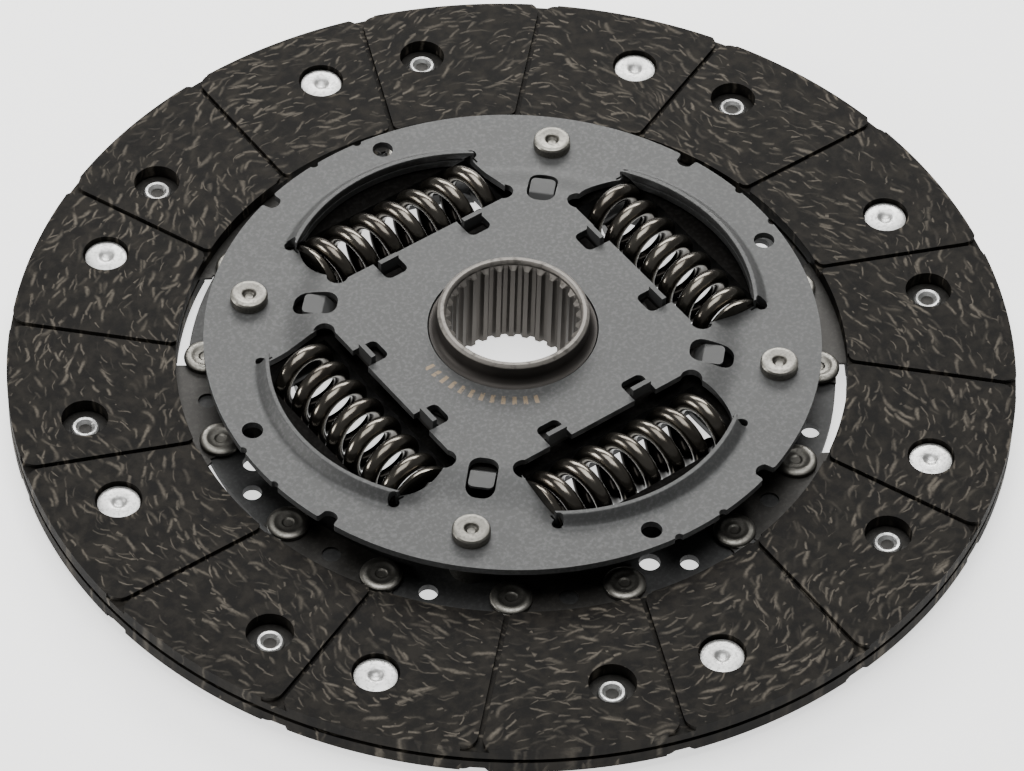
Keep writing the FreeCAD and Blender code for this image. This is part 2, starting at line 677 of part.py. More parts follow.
def hub_flange():
    body = new_body("hub_flange")
    washer(body, "hub_seat_d / 2", "flange_outer_d / 2", "flange_bottom", "flange_top")
    near = "spring_centre_r - spring_outer_d / 2 - spring_play"
    far = "spring_centre_r + spring_outer_d / 2 + spring_play"
    sketch = new_sketch(body)
    box_outline(sketch, near, far, "-window_half", "window_half")
    window = through(body, sketch)

    # A stop pin's notch, as wide as its travel: its walls stand off the pin's end positions
    floor = "(pin_ring_r - pin_shoulder_d / 2 - stop_play)"
    side = "(pin_shoulder_d / 2 + stop_play)"
    foot = "sqrt(%s ^ 2 - %s ^ 2)" % (floor, side)
    far = "(flange_outer_d / 2 + 3)"
    sketch = new_sketch(body, turn="45")

    def wall(along, angle, away):
        return ("%s * cos(%s) - %s * %s * sin(%s)" % (along, angle, away, side, angle),
                "%s * sin(%s) + %s * %s * cos(%s)" % (along, angle, away, side, angle))

    first, last = "(-drive_twist)", "coast_twist"
    outline(sketch, [
        wall(foot, first, "-1"),
        wall(far, first, "-1"),
        wall(far, last, "1"),
        wall(foot, last, "1") + (floor, -1),
    ])
    repeat(body, [window, through(body, sketch)], WINDOWS)
    return body


def flat(*points):
    return Part.Face(Part.makePolygon(list(points) + [points[0]]))


def damper_spring(number):
    """A right-hand coil spring across a window, in short straight runs: a closed turn, the free turns and a
    closed turn. Its ends are ground flat, so no point of a section lies past them."""
    half, coil_r, wire_r = value_of("spring_length") / 2, value_of("coil_r"), value_of("spring_wire_d") / 2
    free, closed = value_of("spring_pitch"), value_of("spring_end_pitch")
    sections = []
    for step in range((ACTIVE_TURNS + 2) * COIL_STEPS + 1):
        turn = step / COIL_STEPS - ACTIVE_TURNS / 2 - 1
        along = free * turn
        if abs(turn) > ACTIVE_TURNS / 2:
            past = abs(turn) - ACTIVE_TURNS / 2
            along = math.copysign(free * ACTIVE_TURNS / 2 + closed * past, turn)
        angle = math.radians(90) - 2 * math.pi * turn
        points = []
        for k in range(WIRE_SIDES):
            around = 2 * math.pi * (k + 0.5) / WIRE_SIDES
            radius = coil_r + wire_r * math.sin(around)
            y = max(-half, min(half, along + wire_r * math.cos(around)))
            points.append(Vector(radius * math.cos(angle), y, radius * math.sin(angle)))
        sections.append(points)
    faces = [flat(*reversed(sections[0])), flat(*sections[-1])]
    for one, two in zip(sections, sections[1:]):
        for k in range(WIRE_SIDES):
            nxt = (k + 1) % WIRE_SIDES
            faces.append(flat(one[k], one[nxt], two[nxt]))
            faces.append(flat(one[k], two[nxt], two[k]))
    spring = doc.addObject("Part::Feature", "damper_spring_%d" % number)
    spring.Label = "damper_spring_%d" % number
    spring.Shape = Part.Solid(Part.Shell(faces))
    place(spring, "%d * 90" % (number - 1), "spring_centre_r", "flange_middle")
    PARTS.append(spring)
    return spring


def stop_pin(number):
    body = new_body("stop_pin_%d" % number)
    shank(body, "pin_ring_r", "(45 + %d * 90)" % (number - 1), [
        ("pin_head_d", "carrier_bottom - pin_rear_head_t", "carrier_bottom"),
        ("pin_neck_d", "carrier_bottom", "carrier_top"),
        ("pin_shoulder_d", "carrier_top", "cover_rim_bottom"),
        ("pin_neck_d", "cover_rim_bottom", "cover_rim_top"),
        ("pin_head_d", "cover_rim_top", "cover_rim_top + pin_front_head_t"),
    ], 12)
    return body


def segment_rivets():
    body = new_body("segment_rivets")
    body.AllowCompound = True
    steps = [
        ("segment_rivet_back_d", "carrier_bottom - segment_rivet_back_t", "carrier_bottom"),
        ("segment_rivet_shank_d", "carrier_bottom", "segment_top"),
        ("segment_rivet_head_d", "segment_top", "segment_top + segment_rivet_head_t"),
    ]
    pair = []
    for side in ("-", "+"):
        angle = "(segment_first_angle %s segment_rivet_half)" % side
        pair += shank(body, "segment_rivet_ring_r", angle, steps)
    repeat(body, pair, SEGMENTS)
    return body


def lug_plate():
    body = new_body("lug_plate")
    plain_ring(body, "lug_plate_inner_d / 2", "lug_plate_outer_d / 2", "lug_plate_bottom", "cover_bottom")
    outer = "lug_seat_r + lug_thickness / 2"
    inner = "lug_seat_r - lug_thickness / 2"
    added = []
    for reach, height in (("lug_plate_inner_d / 2 + 4", "lug_plate_t"),
                          (inner, "cover_top + lug_height - lug_plate_bottom")):
        sketch = new_sketch(body, height="lug_plate_bottom")
        for side in ("-1", "1"):
            middle = "%s * lug_offset" % side
            box_outline(sketch, reach, outer, "%s - lug_width / 2" % middle, "%s + lug_width / 2" % middle)
        added.append(pad(body, sketch, height))
    repeat(body, added, WINDOWS)
    return body


def thrust_ring():
    body = new_body("thrust_ring")
    inner, outer = "friction_ring_inner_d / 2", "thrust_ring_outer_d / 2"
    plain_ring(body, inner, outer, "friction_top", "thrust_top")
    sketch = new_sketch(body, "XZ_Plane", turn="45")
    outline(sketch, [
        (inner + " + 2", "friction_top"),
        ("tongue_bend_r", "friction_top"),
        ("tongue_tip_r", "friction_top + tongue_rise"),
        ("tongue_tip_r", "thrust_top + tongue_rise"),
        ("tongue_bend_r", "thrust_top"),
        (inner + " + 2", "thrust_top"),
    ])
    tongue = body.newObject("PartDesign::Pad", "tongue")
    tongue.Profile = sketch
    tongue.Midplane = True
    bind(tongue, "Length", "tongue_width")
    doc.recompute()
    repeat(body, [tongue], WINDOWS)
    return body


def friction_ring():
    body = new_body("friction_ring")
    plain_ring(body, "friction_ring_inner_d / 2", "friction_ring_outer_d / 2", "flange_top", "friction_top")
    return body


def disc_spring():
    body = new_body("disc_spring")
    inner, outer = "friction_ring_inner_d / 2", "disc_spring_outer_d / 2"
    sketch = new_sketch(body, "XZ_Plane")
    outline(sketch, [(inner, "thrust_top"), (outer, "lug_plate_bottom - disc_spring_t"),
                     (outer, "lug_plate_bottom"), (inner, "thrust_top + disc_spring_t")])
    turned(body, sketch)
    return body


def friction_bush():
    """The rear friction ring and the sleeve that centres the carrier on the hub."""
    body = new_body("friction_bush")
    plain_ring(body, None, "bush_outer_d / 2", "carrier_top", "flange_bottom")
    plain_ring(body, None, "bush_sleeve_r", "carrier_bottom", "carrier_top")
    prism(body, "SubtractivePrism", "bush_inner_r / cos(180 / %d)" % RING_SIDES, "carrier_bottom", "flange_bottom")
    return body


facing("facing_front", "front_back", "front_face", "front_rivet_angle", "rear_rivet_angle", False)
facing("facing_rear", "carrier_top", "rear_face", "rear_rivet_angle", "front_rivet_angle", True)
facing_rivets("facing_rivets_front", "front_rivet_angle",
              ("front_back + facing_floor", "front_back + facing_floor + facing_rivet_head_t"),
              ("front_back - segment_thickness", "front_back + facing_floor"),
              ("front_back - segment_thickness - facing_rivet_tail_t", "front_back - segment_thickness"))
facing_rivets("facing_rivets_rear", "rear_rivet_angle",
              ("carrier_top - facing_floor - facing_rivet_head_t", "carrier_top - facing_floor"),
              ("carrier_top - facing_floor", "segment_top"),
              ("segment_top", "segment_top + facing_rivet_tail_t"))
for number in range(1, SEGMENTS + 1):
    segment(number)
segment_rivets()
carrier_plate()
cover_plate()
hub()
hub_flange()
for number in range(1, WINDOWS + 1):
    damper_spring(number)
    stop_pin(number)
lug_plate()
thrust_ring()
friction_ring()
disc_spring()
friction_bush()

doc.recompute()
wrong = [item.Name for item in doc.Objects if {"Invalid", "Error"} & set(item.State)]
if wrong:
    raise RuntimeError("not built: " + ", ".join(wrong))

os.makedirs("parts", exist_ok=True)
for part in PARTS:
    shape = part.Shape
    if shape.isNull() or not shape.isValid() or not shape.Solids:
        raise RuntimeError(part.Label + " has no valid solid")
    shape.exportStep("parts/%s.step" % part.Label)
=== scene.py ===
"""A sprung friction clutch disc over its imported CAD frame. Lengths are metres and angles degrees."""

import math

import bpy
from mathutils import Matrix, Vector


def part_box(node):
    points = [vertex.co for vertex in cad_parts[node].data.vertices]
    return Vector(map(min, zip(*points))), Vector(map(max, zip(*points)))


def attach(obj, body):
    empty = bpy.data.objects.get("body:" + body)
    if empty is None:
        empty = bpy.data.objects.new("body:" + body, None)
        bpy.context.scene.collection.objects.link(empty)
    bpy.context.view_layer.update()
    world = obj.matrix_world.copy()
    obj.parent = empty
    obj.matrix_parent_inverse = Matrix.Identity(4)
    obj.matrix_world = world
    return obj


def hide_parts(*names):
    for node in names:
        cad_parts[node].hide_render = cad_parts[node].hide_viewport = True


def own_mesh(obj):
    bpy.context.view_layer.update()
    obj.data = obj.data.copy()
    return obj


bl_info = {
    "name": "Clutch disc",
    "version": (1, 0, 0),
    "blender": (4, 5, 0),
    "location": "View3D > Sidebar > Clutch disc",
    "description": "Builds a sprung friction clutch disc over its CAD frame",
    "category": "Object",
}

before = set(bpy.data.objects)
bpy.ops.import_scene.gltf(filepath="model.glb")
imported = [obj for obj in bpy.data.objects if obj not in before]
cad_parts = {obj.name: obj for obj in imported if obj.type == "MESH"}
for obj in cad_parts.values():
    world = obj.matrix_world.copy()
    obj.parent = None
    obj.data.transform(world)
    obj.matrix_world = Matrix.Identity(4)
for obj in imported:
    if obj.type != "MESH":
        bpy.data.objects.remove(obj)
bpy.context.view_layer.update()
MM = 0.001


def top_of(node):
    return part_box(node)[1][2]


def foot_of(node):
    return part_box(node)[0][2]


FRONT_FACE = top_of("facing_front")
FRONT_BACK = foot_of("facing_front")
REAR_FACE = foot_of("facing_rear")
CARRIER_TOP = top_of("facing_rear")
COVER_TOP = top_of("cover_plate")
COVER_RIM_BOTTOM = foot_of("cover_plate")
HUB_TOP = top_of("hub")
SPRING_AXIS_Z = (top_of("damper_spring_1") + foot_of("damper_spring_1")) / 2

SPRING_RING = 45.85 * MM
SPRING_ROOM = 9.5 * MM
RELIEF_RING = 60.2 * MM
TOOL_RING = 68.5 * MM
TOOL_ANGLE = 81.35
LUG_PLACE = 12.3 * MM
LUG_PLATE_BORE = 23.2 * MM
LUG_PLATE_RIM = 33.0 * MM
RIVET_HOLE = 2.65 * MM
SMALL_HOLE = 2.25 * MM
DRAIN_ANGLES = (38.45, 87.8)
NOTCH_ANGLE = 17.7
RISE_START = 12.2
RISE_RUN = 2.4
TONGUE_BEND = 42.8 * MM


def length(name, value, text):
    """A size in millimetres, as a length property in metres."""
    return bpy.props.FloatProperty(
        name=name, description=text, default=value * MM, unit="LENGTH", precision=5)


def angle(name, value, text):
    return bpy.props.FloatProperty(
        name=name, description=text, default=math.radians(value), subtype="ANGLE")


def colour(name, value, text):
    return bpy.props.FloatVectorProperty(
        name=name, description=text, default=value, size=3, min=0.0, max=1.0, subtype="COLOR")


class DiscFacingSizes(bpy.types.PropertyGroup):
    outer_radius: length("Outer radius", 120.0, "Both facings, outside")
    inner_radius: length("Inner radius", 80.0, "Both facings, inside")
    thickness: length("Thickness", 3.4, "One facing")
    groove_width: length("Groove width", 1.2, "Groove between two pads")
    groove_depth: length("Groove depth", 1.2, "Groove between two pads")
    groove_offset: length("Groove offset", 12.06, "How far a groove's line passes from the centre")
    groove_heading: angle("Groove heading", -0.77, "Direction of the first groove")
    rim_corner: length("Rim corner", 3.4, "Corner radius of a pad at the rim")
    bore_corner: length("Bore corner", 1.8, "Corner radius of a pad at the bore")
    rivet_ring: length("Rivet ring", 102.94, "Radius of the circle of facing rivets")
    front_rivet: angle("Front rivet", 36.24, "First rivet of the front facing")
    rear_rivet: angle("Rear rivet", 21.35, "First rivet of the rear facing")
    hole_radius: length("Hole radius", 5.55, "Counterbores and clearance holes")
    floor: length("Floor", 1.4, "Lining left under a rivet's head")


class DiscPlateSizes(bpy.types.PropertyGroup):
    thickness: length("Thickness", 1.8, "Sheet of carrier and cover")
    cover_radius: length("Cover radius", 73.3, "Cover plate")
    carrier_radius: length("Carrier radius", 77.3, "Carrier plate")
    cover_bore: length("Cover bore", 20.3, "Radius of the cover's bore")
    carrier_bore: length("Carrier bore", 22.4, "Radius of the carrier's bore")
    joggle: length("Joggle", 2.6, "The cover's middle above its rim")
    joggle_start: length("Joggle start", 46.0, "Radius where the raised middle ends")
    joggle_end: length("Joggle end", 54.0, "Radius where the rim starts")
    window_inner: length("Window inner edge", 35.5, "Straight inner edge of a window")
    window_half: length("Window half", 25.95, "Half length of a window")
    lip_centre: length("Lip centre", 16.2, "Centre of a lip's arcs, on the window's middle line")
    lip_radius: length("Lip radius", 44.3, "Free edge of a lip in plan")
    lip_rise: length("Lip rise", 2.5, "Free edge of a cover lip above the rim")
    lip_drop: length("Lip drop", 1.8, "Free edge of a carrier lip below the plate")
    pin_ring: length("Pin ring", 63.54, "Radius of the circle of stop pins")
    rivet_ring: length("Rivet ring", 73.2, "Radius of the circle of segment rivets")
    first_foot: angle("First foot", 18.95, "Middle of the first segment's foot")
    rivet_half: angle("Rivet half", 10.45, "Half angle between a foot's two rivets")
    edge_round: length("Edge round", 0.16, "Rounding of the sheet's cut edges")


class DiscSpringSizes(bpy.types.PropertyGroup):
    centre: length("Centre", 45.85, "Hub axis to spring axis")
    outer_radius: length("Outer radius", 9.2, "Coil")
    wire_radius: length("Wire radius", 2.0, "Wire")
    length: length("Length", 51.8, "Between the ground ends")
    pitch: length("Pitch", 7.02, "Free turns")


class DiscHubSizes(bpy.types.PropertyGroup):
    body_radius: length("Body radius", 20.0, "Between the plates")
    seat_radius: length("Seat radius", 23.0, "In the flange")
    nose_radius: length("Nose radius", 18.1, "In front of the cover")
    tip_radius: length("Tip radius", 14.9, "Tips of the spline's teeth")
    root_radius: length("Root radius", 16.0, "Bottom of the spline's spaces")
    mouth: length("Mouth", 1.2, "Plain bore before the teeth")
    teeth: bpy.props.IntProperty(name="Teeth", description="Teeth of the spline", default=29, min=6)
    first_tooth: angle("First tooth", 4.24, "Middle of the first tooth")


class DiscColours(bpy.types.PropertyGroup):
    lining: colour("Lining", (0.005, 0.0045, 0.004), "Ground lining between its fibres")
    fibre: colour("Fibre", (0.165, 0.145, 0.118), "Brown fibres in the lining")
    sheet: colour("Sheet", (0.060, 0.061, 0.061), "Phosphated plates")
    dark_steel: colour("Dark steel", (0.027, 0.025, 0.022), "Segments and inner rings")
    wire: colour("Wire", (0.150, 0.138, 0.118), "Oiled spring wire")
    machined: colour("Machined", (0.150, 0.140, 0.128), "Hub")
    bright: colour("Bright", (0.640, 0.640, 0.630), "Plated rivets")
    pin: colour("Pin", (0.230, 0.222, 0.200), "Pins and segment rivets")
    tick: colour("Tick", (0.230, 0.165, 0.095), "Paint ticks by the hub")


# Modelling by operators


def only(obj):
    bpy.ops.object.select_all(action="DESELECT")
    obj.select_set(True)
    bpy.context.view_layer.objects.active = obj


def open_mesh(obj):
    only(obj)
    bpy.ops.object.mode_set(mode="EDIT")
    bpy.ops.mesh.select_all(action="SELECT")


def close_mesh():
    bpy.ops.object.mode_set(mode="OBJECT")


def polar(radius, degrees):
    return radius * math.cos(math.radians(degrees)), radius * math.sin(math.radians(degrees))


def clamped(value):
    return max(0.0, min(1.0, value))


def arc(x, y, radius, start, end, count):
    """Points of an arc, both ends included."""
    turns = [start + (end - start) * k / count for k in range(count + 1)]
    return [(x + radius * math.cos(math.radians(t)), y + radius * math.sin(math.radians(t))) for t in turns]


def loop_of(name, points, fill="NOTHING"):
    """A closed loop through (x, y, z) points, from a circle primitive."""
    bpy.ops.object.select_all(action="DESELECT")
    bpy.ops.mesh.primitive_circle_add(vertices=len(points), radius=1.0, fill_type=fill)
    obj = bpy.context.object
    obj.name = name
    for vertex, point in zip(obj.data.vertices, points):
        vertex.co = point
    return obj


def tidy(obj):
    open_mesh(obj)
    bpy.ops.mesh.remove_doubles(threshold=3e-6)
    bpy.ops.mesh.dissolve_degenerate(threshold=1e-7)
    bpy.ops.mesh.delete_loose(use_verts=True, use_edges=True, use_faces=False)
    bpy.ops.mesh.fill_holes(sides=0)
    bpy.ops.mesh.normals_make_consistent(inside=False)
    close_mesh()
    return obj


def prism(name, outline, low, high):
    """A flat outline pulled up from one height to another."""
    obj = loop_of(name, [(x, y, low) for x, y in outline], "NGON")
    open_mesh(obj)
    bpy.ops.mesh.extrude_region_move(TRANSFORM_OT_translate={"value": (0, 0, high - low)})
    close_mesh()
    return tidy(obj)


def turned(name, section, steps=128, sweep=360.0, centre=0.0):
    """A closed (radius, height) section turned about an upright axis on +X. A part turn is centred on +X."""
    start = 0.0 if sweep == 360.0 else sweep / 2
    points = []
    for radius, height in section:
        x, y = polar(radius, start)
        points.append((centre + x, y, height))
    obj = loop_of(name, points, "NOTHING" if sweep == 360.0 else "NGON")
    open_mesh(obj)
    bpy.ops.mesh.spin(
        steps=steps, angle=math.radians(sweep), center=(centre, 0, 0), axis=(0, 0, 1), use_auto_merge=False)
    close_mesh()
    return tidy(obj)


def rod(name, x, y, radius, low, high, sides=48):
    bpy.ops.object.select_all(action="DESELECT")
    bpy.ops.mesh.primitive_cylinder_add(
        vertices=sides, radius=radius, depth=high - low, location=(x, y, (low + high) / 2))
    obj = bpy.context.object
    obj.name = name
    bpy.ops.object.transform_apply(location=True, rotation=True, scale=True)
    return obj


def block(name, low, high):
    """A box between two corners."""
    (x0, y0, z0), (x1, y1, z1) = low, high
    return prism(name, [(x0, y0), (x1, y0), (x1, y1), (x0, y1)], z0, z1)


def joined(objects):
    bpy.ops.object.select_all(action="DESELECT")
    for obj in objects:
        obj.select_set(True)
    bpy.context.view_layer.objects.active = objects[0]
    if len(objects) > 1:
        bpy.ops.object.join()
    return bpy.context.object


def copied(obj, matrix):
    """A copy with its own mesh, moved in its mesh."""
    twin = obj.copy()
    twin.data = obj.data.copy()
    twin.data.transform(matrix)
    bpy.context.scene.collection.objects.link(twin)
    return twin


def spun(degrees):
    return Matrix.Rotation(math.radians(degrees), 4, "Z")


def ring_of(obj, count):
    """The object and its copies at equal steps about the hub's axis, as one object."""
    twins = [copied(obj, spun(360.0 * k / count)) for k in range(1, count)]
    return joined([obj] + twins)


def applied(obj, kind, **settings):
    only(obj)
    modifier = obj.modifiers.new(kind.title(), kind)
    for key, value in settings.items():
        setattr(modifier, key, value)
    bpy.ops.object.modifier_apply(modifier=modifier.name)
    return obj


def combine(obj, tool, operation="DIFFERENCE", crossing=False):
    applied(obj, "BOOLEAN", operation=operation, solver="EXACT", use_self=crossing, object=tool)
    bpy.data.objects.remove(tool)
    return obj


def flattened(obj):
    """Joins the faces that lie in one plane."""
    open_mesh(obj)
    bpy.ops.mesh.remove_doubles(threshold=0.004 * MM)
    bpy.ops.mesh.dissolve_limited(angle_limit=math.radians(0.4))
    close_mesh()
    return obj


def softened(obj, width, segments=2, sharp=38.0, clamp=True):
    """Rounds the sharp edges and shades the rest smooth."""
    applied(obj, "BEVEL", width=width, segments=segments, limit_method="ANGLE",
            angle_limit=math.radians(sharp), use_clamp_overlap=clamp)
    shaded(obj)
    return applied(obj, "WEIGHTED_NORMAL", keep_sharp=True)


def shaded(obj, sharp=32.0):
    only(obj)
    bpy.ops.object.shade_smooth_by_angle(angle=math.radians(sharp))
    return obj


def piece(obj, name, body, slot, nodes=(), look=None):
    """Finishes a piece. look is its material where that isn't the slot's own."""
    obj.name = name
    obj.data.name = name
    obj.data.materials.clear()
    obj.data.materials.append(MATERIALS[look or slot])
    for polygon in obj.data.polygons:
        polygon.material_index = 0
    if nodes:
        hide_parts(*nodes)
    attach(obj, body)
    return obj


# Shader maths: a socket with operators


class Signal:
    """A socket of a material's nodes. An operator adds its Math node."""

    def __init__(self, shader, socket):
        self.shader = shader
        self.socket = socket

    def _math(self, operation, *values, clamp=False):
        return self.shader.node("ShaderNodeMath", {"operation": operation, "use_clamp": clamp}, *values)

    def __add__(self, other):
        return self._math("ADD", self, other)

    def __sub__(self, other):
        return self._math("SUBTRACT", self, other)

    def __mul__(self, other):
        return self._math("MULTIPLY", self, other)

    def __truediv__(self, other):
        return self._math("DIVIDE", self, other)

    def __radd__(self, other):
        return self._math("ADD", other, self)

    def __rsub__(self, other):
        return self._math("SUBTRACT", other, self)

    def __rmul__(self, other):
        return self._math("MULTIPLY", other, self)

    def __rtruediv__(self, other):
        return self._math("DIVIDE", other, self)

    def maths(self, operation, *others):
        return self._math(operation, self, *others)

    def between(self, low, high):
        """0 below low, 1 above high."""
        node = {"interpolation_type": "SMOOTHSTEP"}
        return self.shader.node("ShaderNodeMapRange", node, self, low, high, 0.0, 1.0)


class Shader:
    """One material. Every node comes from node()."""

    def __init__(self, name):
        self.material = bpy.data.materials.new(name)
        self.material.use_nodes = True
        self.tree = self.material.node_tree
        self.tree.nodes.clear()
        self.output = self.tree.nodes.new("ShaderNodeOutputMaterial")
        self.surface = self.tree.nodes.new("ShaderNodeBsdfPrincipled")
        self.tree.links.new(self.surface.outputs[0], self.output.inputs["Surface"])

    def node(self, kind, settings, *values, output=0, **named):
        """A node of a kind, with its settings, then its sockets by order or by name."""
        node = self.tree.nodes.new(kind)
        for key, value in settings.items():
            setattr(node, key, value)
        pairs = list(zip(node.inputs, values)) + [(node.inputs[k], v) for k, v in named.items()]
        for socket, value in pairs:
            self.feed(socket, value)
        return Signal(self, node.outputs[output])

    def feed(self, socket, value):
        if value is None:
            return
        if isinstance(value, Signal):
            self.tree.links.new(value.socket, socket)
        elif socket.type == "RGBA" and len(value) == 3:
            socket.default_value = (*value, 1.0)
        else:
            socket.default_value = value

    def set(self, **values):
        for key, value in values.items():
            self.feed(self.surface.inputs[key.replace("_", " ")], value)

    def place(self):
        return self.node("ShaderNodeTexCoord", {}, output=3)

    def split(self, vector):
        node = self.tree.nodes.new("ShaderNodeSeparateXYZ")
        self.feed(node.inputs[0], vector)
        return [Signal(self, out) for out in node.outputs]

    def vector(self, x, y, z):
        return self.node("ShaderNodeCombineXYZ", {}, x, y, z)

    def noise(self, vector, scale, detail=3.0, roughness=0.55, distortion=0.0):
        return self.node("ShaderNodeTexNoise", {}, Vector=vector, Scale=scale, Detail=detail,
                         Roughness=roughness, Distortion=distortion)

    def cells(self, vector, scale):
        """The cell's own colour and its middle."""
        node = self.tree.nodes.new("ShaderNodeTexVoronoi")
        self.feed(node.inputs["Vector"], vector)
        self.feed(node.inputs["Scale"], scale)
        return Signal(self, node.outputs["Color"]), Signal(self, node.outputs["Position"])

    def mix(self, factor, one, two):
        return self.node("ShaderNodeMix", {"data_type": "RGBA"}, factor, *[None] * 5, one, two, output=2)

    def bump(self, height, distance, strength=1.0):
        return self.node("ShaderNodeBump", {}, Height=height, Distance=distance, Strength=strength)


MATERIALS = {}


def scaled(tint, factor):
    return tuple(factor * channel for channel in tint)


def lining(colours):
    """Wound yarn, ground flat: short brown fibres, each in its own cell and turned its own way."""
    shader = Shader("friction_lining")
    place = shader.place()
    x, y, z = shader.split(place)
    flat = shader.vector(x, y, z * 0.35)
    wobble = (shader.noise(place, 380.0, 2.0) - 0.5) * (1.1 * MM)
    swing = shader.noise(place, 34.0, 2.0)
    crowd = shader.noise(flat, 95.0, 2.0)
    around = y.maths("ARCTAN2", x)
    fibres = None
    for spacing, wide, seed in ((6.4, 0.30, 0.0), (5.2, 0.27, 0.31), (4.3, 0.24, 0.57), (3.4, 0.20, 0.83)):
        tint, middle = shader.cells(shader.vector(x + seed, y - seed, z * 0.35), 1000.0 / spacing)
        chance, strength, bend = shader.split(tint)
        mx, my = shader.split(middle)[:2]
        dx, dy = x + seed - mx, y - seed - my
        turn = around + (math.pi / 2 - 2.1) + swing * 4.2 + (chance - 0.5) * 1.1
        run = dx * turn.maths("COSINE") + dy * turn.maths("SINE")
        across = dy * turn.maths("COSINE") - dx * turn.maths("SINE")
        across = across + wobble + run * run * (bend - 0.5) * 160.0
        width = wide * MM * (0.5 + bend)
        line = 1.0 - (across.maths("ABSOLUTE") / width).between(0.0, 2.0)
        ends = 1.0 - (run.maths("ABSOLUTE") * (1000.0 / spacing)).between(0.22, 0.60)
        layer = line * ends * (strength * (0.55 + crowd)).between(0.34, 1.25)
        fibres = layer if fibres is None else fibres.maths("MAXIMUM", layer)
    mottle = shader.noise(flat, 240.0, 4.0, 0.65)
    grit = shader.noise(place, 1700.0, 2.0)
    dark = shader.mix(mottle.between(0.36, 0.68), colours.lining, (0.017, 0.015, 0.0125))
    broken = fibres * (0.22 + 0.80 * grit)
    tone = shader.mix(broken, dark, colours.fibre)
    shader.set(Base_Color=shader.mix(grit.between(0.62, 0.80) * 0.22, tone, (0.045, 0.041, 0.035)),
               Roughness=0.60 + 0.2 * mottle,
               Normal=shader.bump(grit * 0.5 + fibres, 0.05 * MM, 0.6))
    shader.surface.inputs["Specular IOR Level"].default_value = 0.10
    return shader.material


def sheet_steel(name, base, wear=0.2, rough=0.46, metallic=0.45, tick=None):
    """Phosphated sheet: crystals, faint clouds and rubbed places. tick is the colour of paint ticks."""
    shader = Shader(name)
    place = shader.place()
    clouds = shader.noise(place, 24.0, 4.0)
    grain = shader.noise(place, 1100.0, 2.0)
    rubbed = shader.noise(place, 60.0, 5.0, 0.7).between(0.60, 0.78)
    light = tuple(min(1.0, c * 1.45 + 0.01) for c in base)
    dark = tuple(c * 0.82 for c in base)
    tone = shader.mix(clouds.between(0.3, 0.72), dark, base)
    tone = shader.mix(grain.between(0.42, 0.72) * 0.55, tone, light)
    if tick:
        tone = shader.mix(tick_marks(shader, grain), tone, tick)
    shader.set(Base_Color=shader.mix(rubbed * wear, tone, light),
               Roughness=rough + 0.14 * clouds - 0.08 * rubbed,
               Metallic=metallic,
               Normal=shader.bump(grain, 0.02 * MM, 0.35))
    return shader.material


def tick_marks(shader, grain):
    """Plain worn paint ticks on an arc beside the hub."""
    x, y, z = shader.split(shader.place())
    radius = (x * x + y * y).maths("SQRT") * 1000.0
    turn = y.maths("ARCTAN2", x) * (180.0 / math.pi)
    step = (turn + 360.0 - 177.0).maths("MODULO", 360.0)
    inside = (1.0 - step.between(74.4, 75.0)) * step.between(0.0, 0.2)
    stroke = 1.0 - (step * (1.0 / 6.25)).maths("FRACT").between(0.36, 0.42)
    ring = radius.between(22.4, 22.6) * (1.0 - radius.between(24.9, 25.1))
    return inside * stroke * ring * grain.between(0.30, 0.50) * (z * 1000.0).between(19.0, 19.5) * 0.65


def ring_steel(colours):
    """The inner rings: grey where they reach up into the cover, and near black from painted shade between
    the plates.
    """
    shader = Shader("ring_steel")
    place = shader.place()
    x, y, z = shader.split(place)
    radius = (x * x + y * y).maths("SQRT") * 1000.0
    reach = (z * 1000.0).between(18.4, 18.9).maths("MAXIMUM", radius.between(42.6, 44.6))
    grain = shader.noise(place, 1100.0, 2.0)
    grey = scaled(colours.sheet, 0.85)
    tone = shader.mix(grain, grey, scaled(grey, 1.25))
    # Painted shade: near black and not metallic between the plates, where the cover and carrier shade the
    # rings.
    shader.set(Base_Color=shader.mix(reach, (0.008, 0.007, 0.006), tone), Roughness=0.45 + 0.2 * grain,
               Metallic=0.45 * reach, Normal=shader.bump(grain, 0.02 * MM, 0.35))
    return shader.material


def hub_steel(colours):
    """Oil-blackened forging with bright machined ends. The band at the teeth's lead-in is bare machined
    steel that also carries a painted highlight.
    """
    shader = Shader("hub_steel")
    place = shader.place()
    x, y, z = shader.split(place)
    radius = (x * x + y * y).maths("SQRT") * 1000.0
    clouds = shader.noise(place, 90.0, 4.0)
    rings = shader.noise(shader.vector(x * 60.0, y * 60.0, z * 5200.0), 1.0, 2.0)
    spots = shader.noise(place, 520.0, 3.0).between(0.50, 0.70)
    end = (z * 1000.0).between(24.55, 24.85) * (1.0 - radius.between(17.9, 18.1))
    # The teeth's lead-in band: bright from its machined steel, and partly a painted highlight.
    end = end.maths("MAXIMUM", (z * 1000.0).between(23.2, 23.4) * (1.0 - radius.between(15.95, 16.03)))
    teeth = 1.0 - radius.between(16.2, 16.5)
    dark = shader.mix(clouds.between(0.3, 0.7), (0.024, 0.021, 0.019), (0.042, 0.037, 0.033))
    bright = shader.mix(spots * 0.8, scaled(colours.machined, 1.3), scaled(colours.machined, 0.5))
    tone = shader.mix(teeth * (0.30 + 0.30 * clouds), dark, colours.machined)
    shader.set(Base_Color=shader.mix(end, tone, bright), Roughness=0.46 + 0.16 * clouds + 0.1 * spots * end,
               Metallic=0.6 + 0.3 * teeth, Normal=shader.bump(rings, 0.05 * MM, 0.4))
    return shader.material


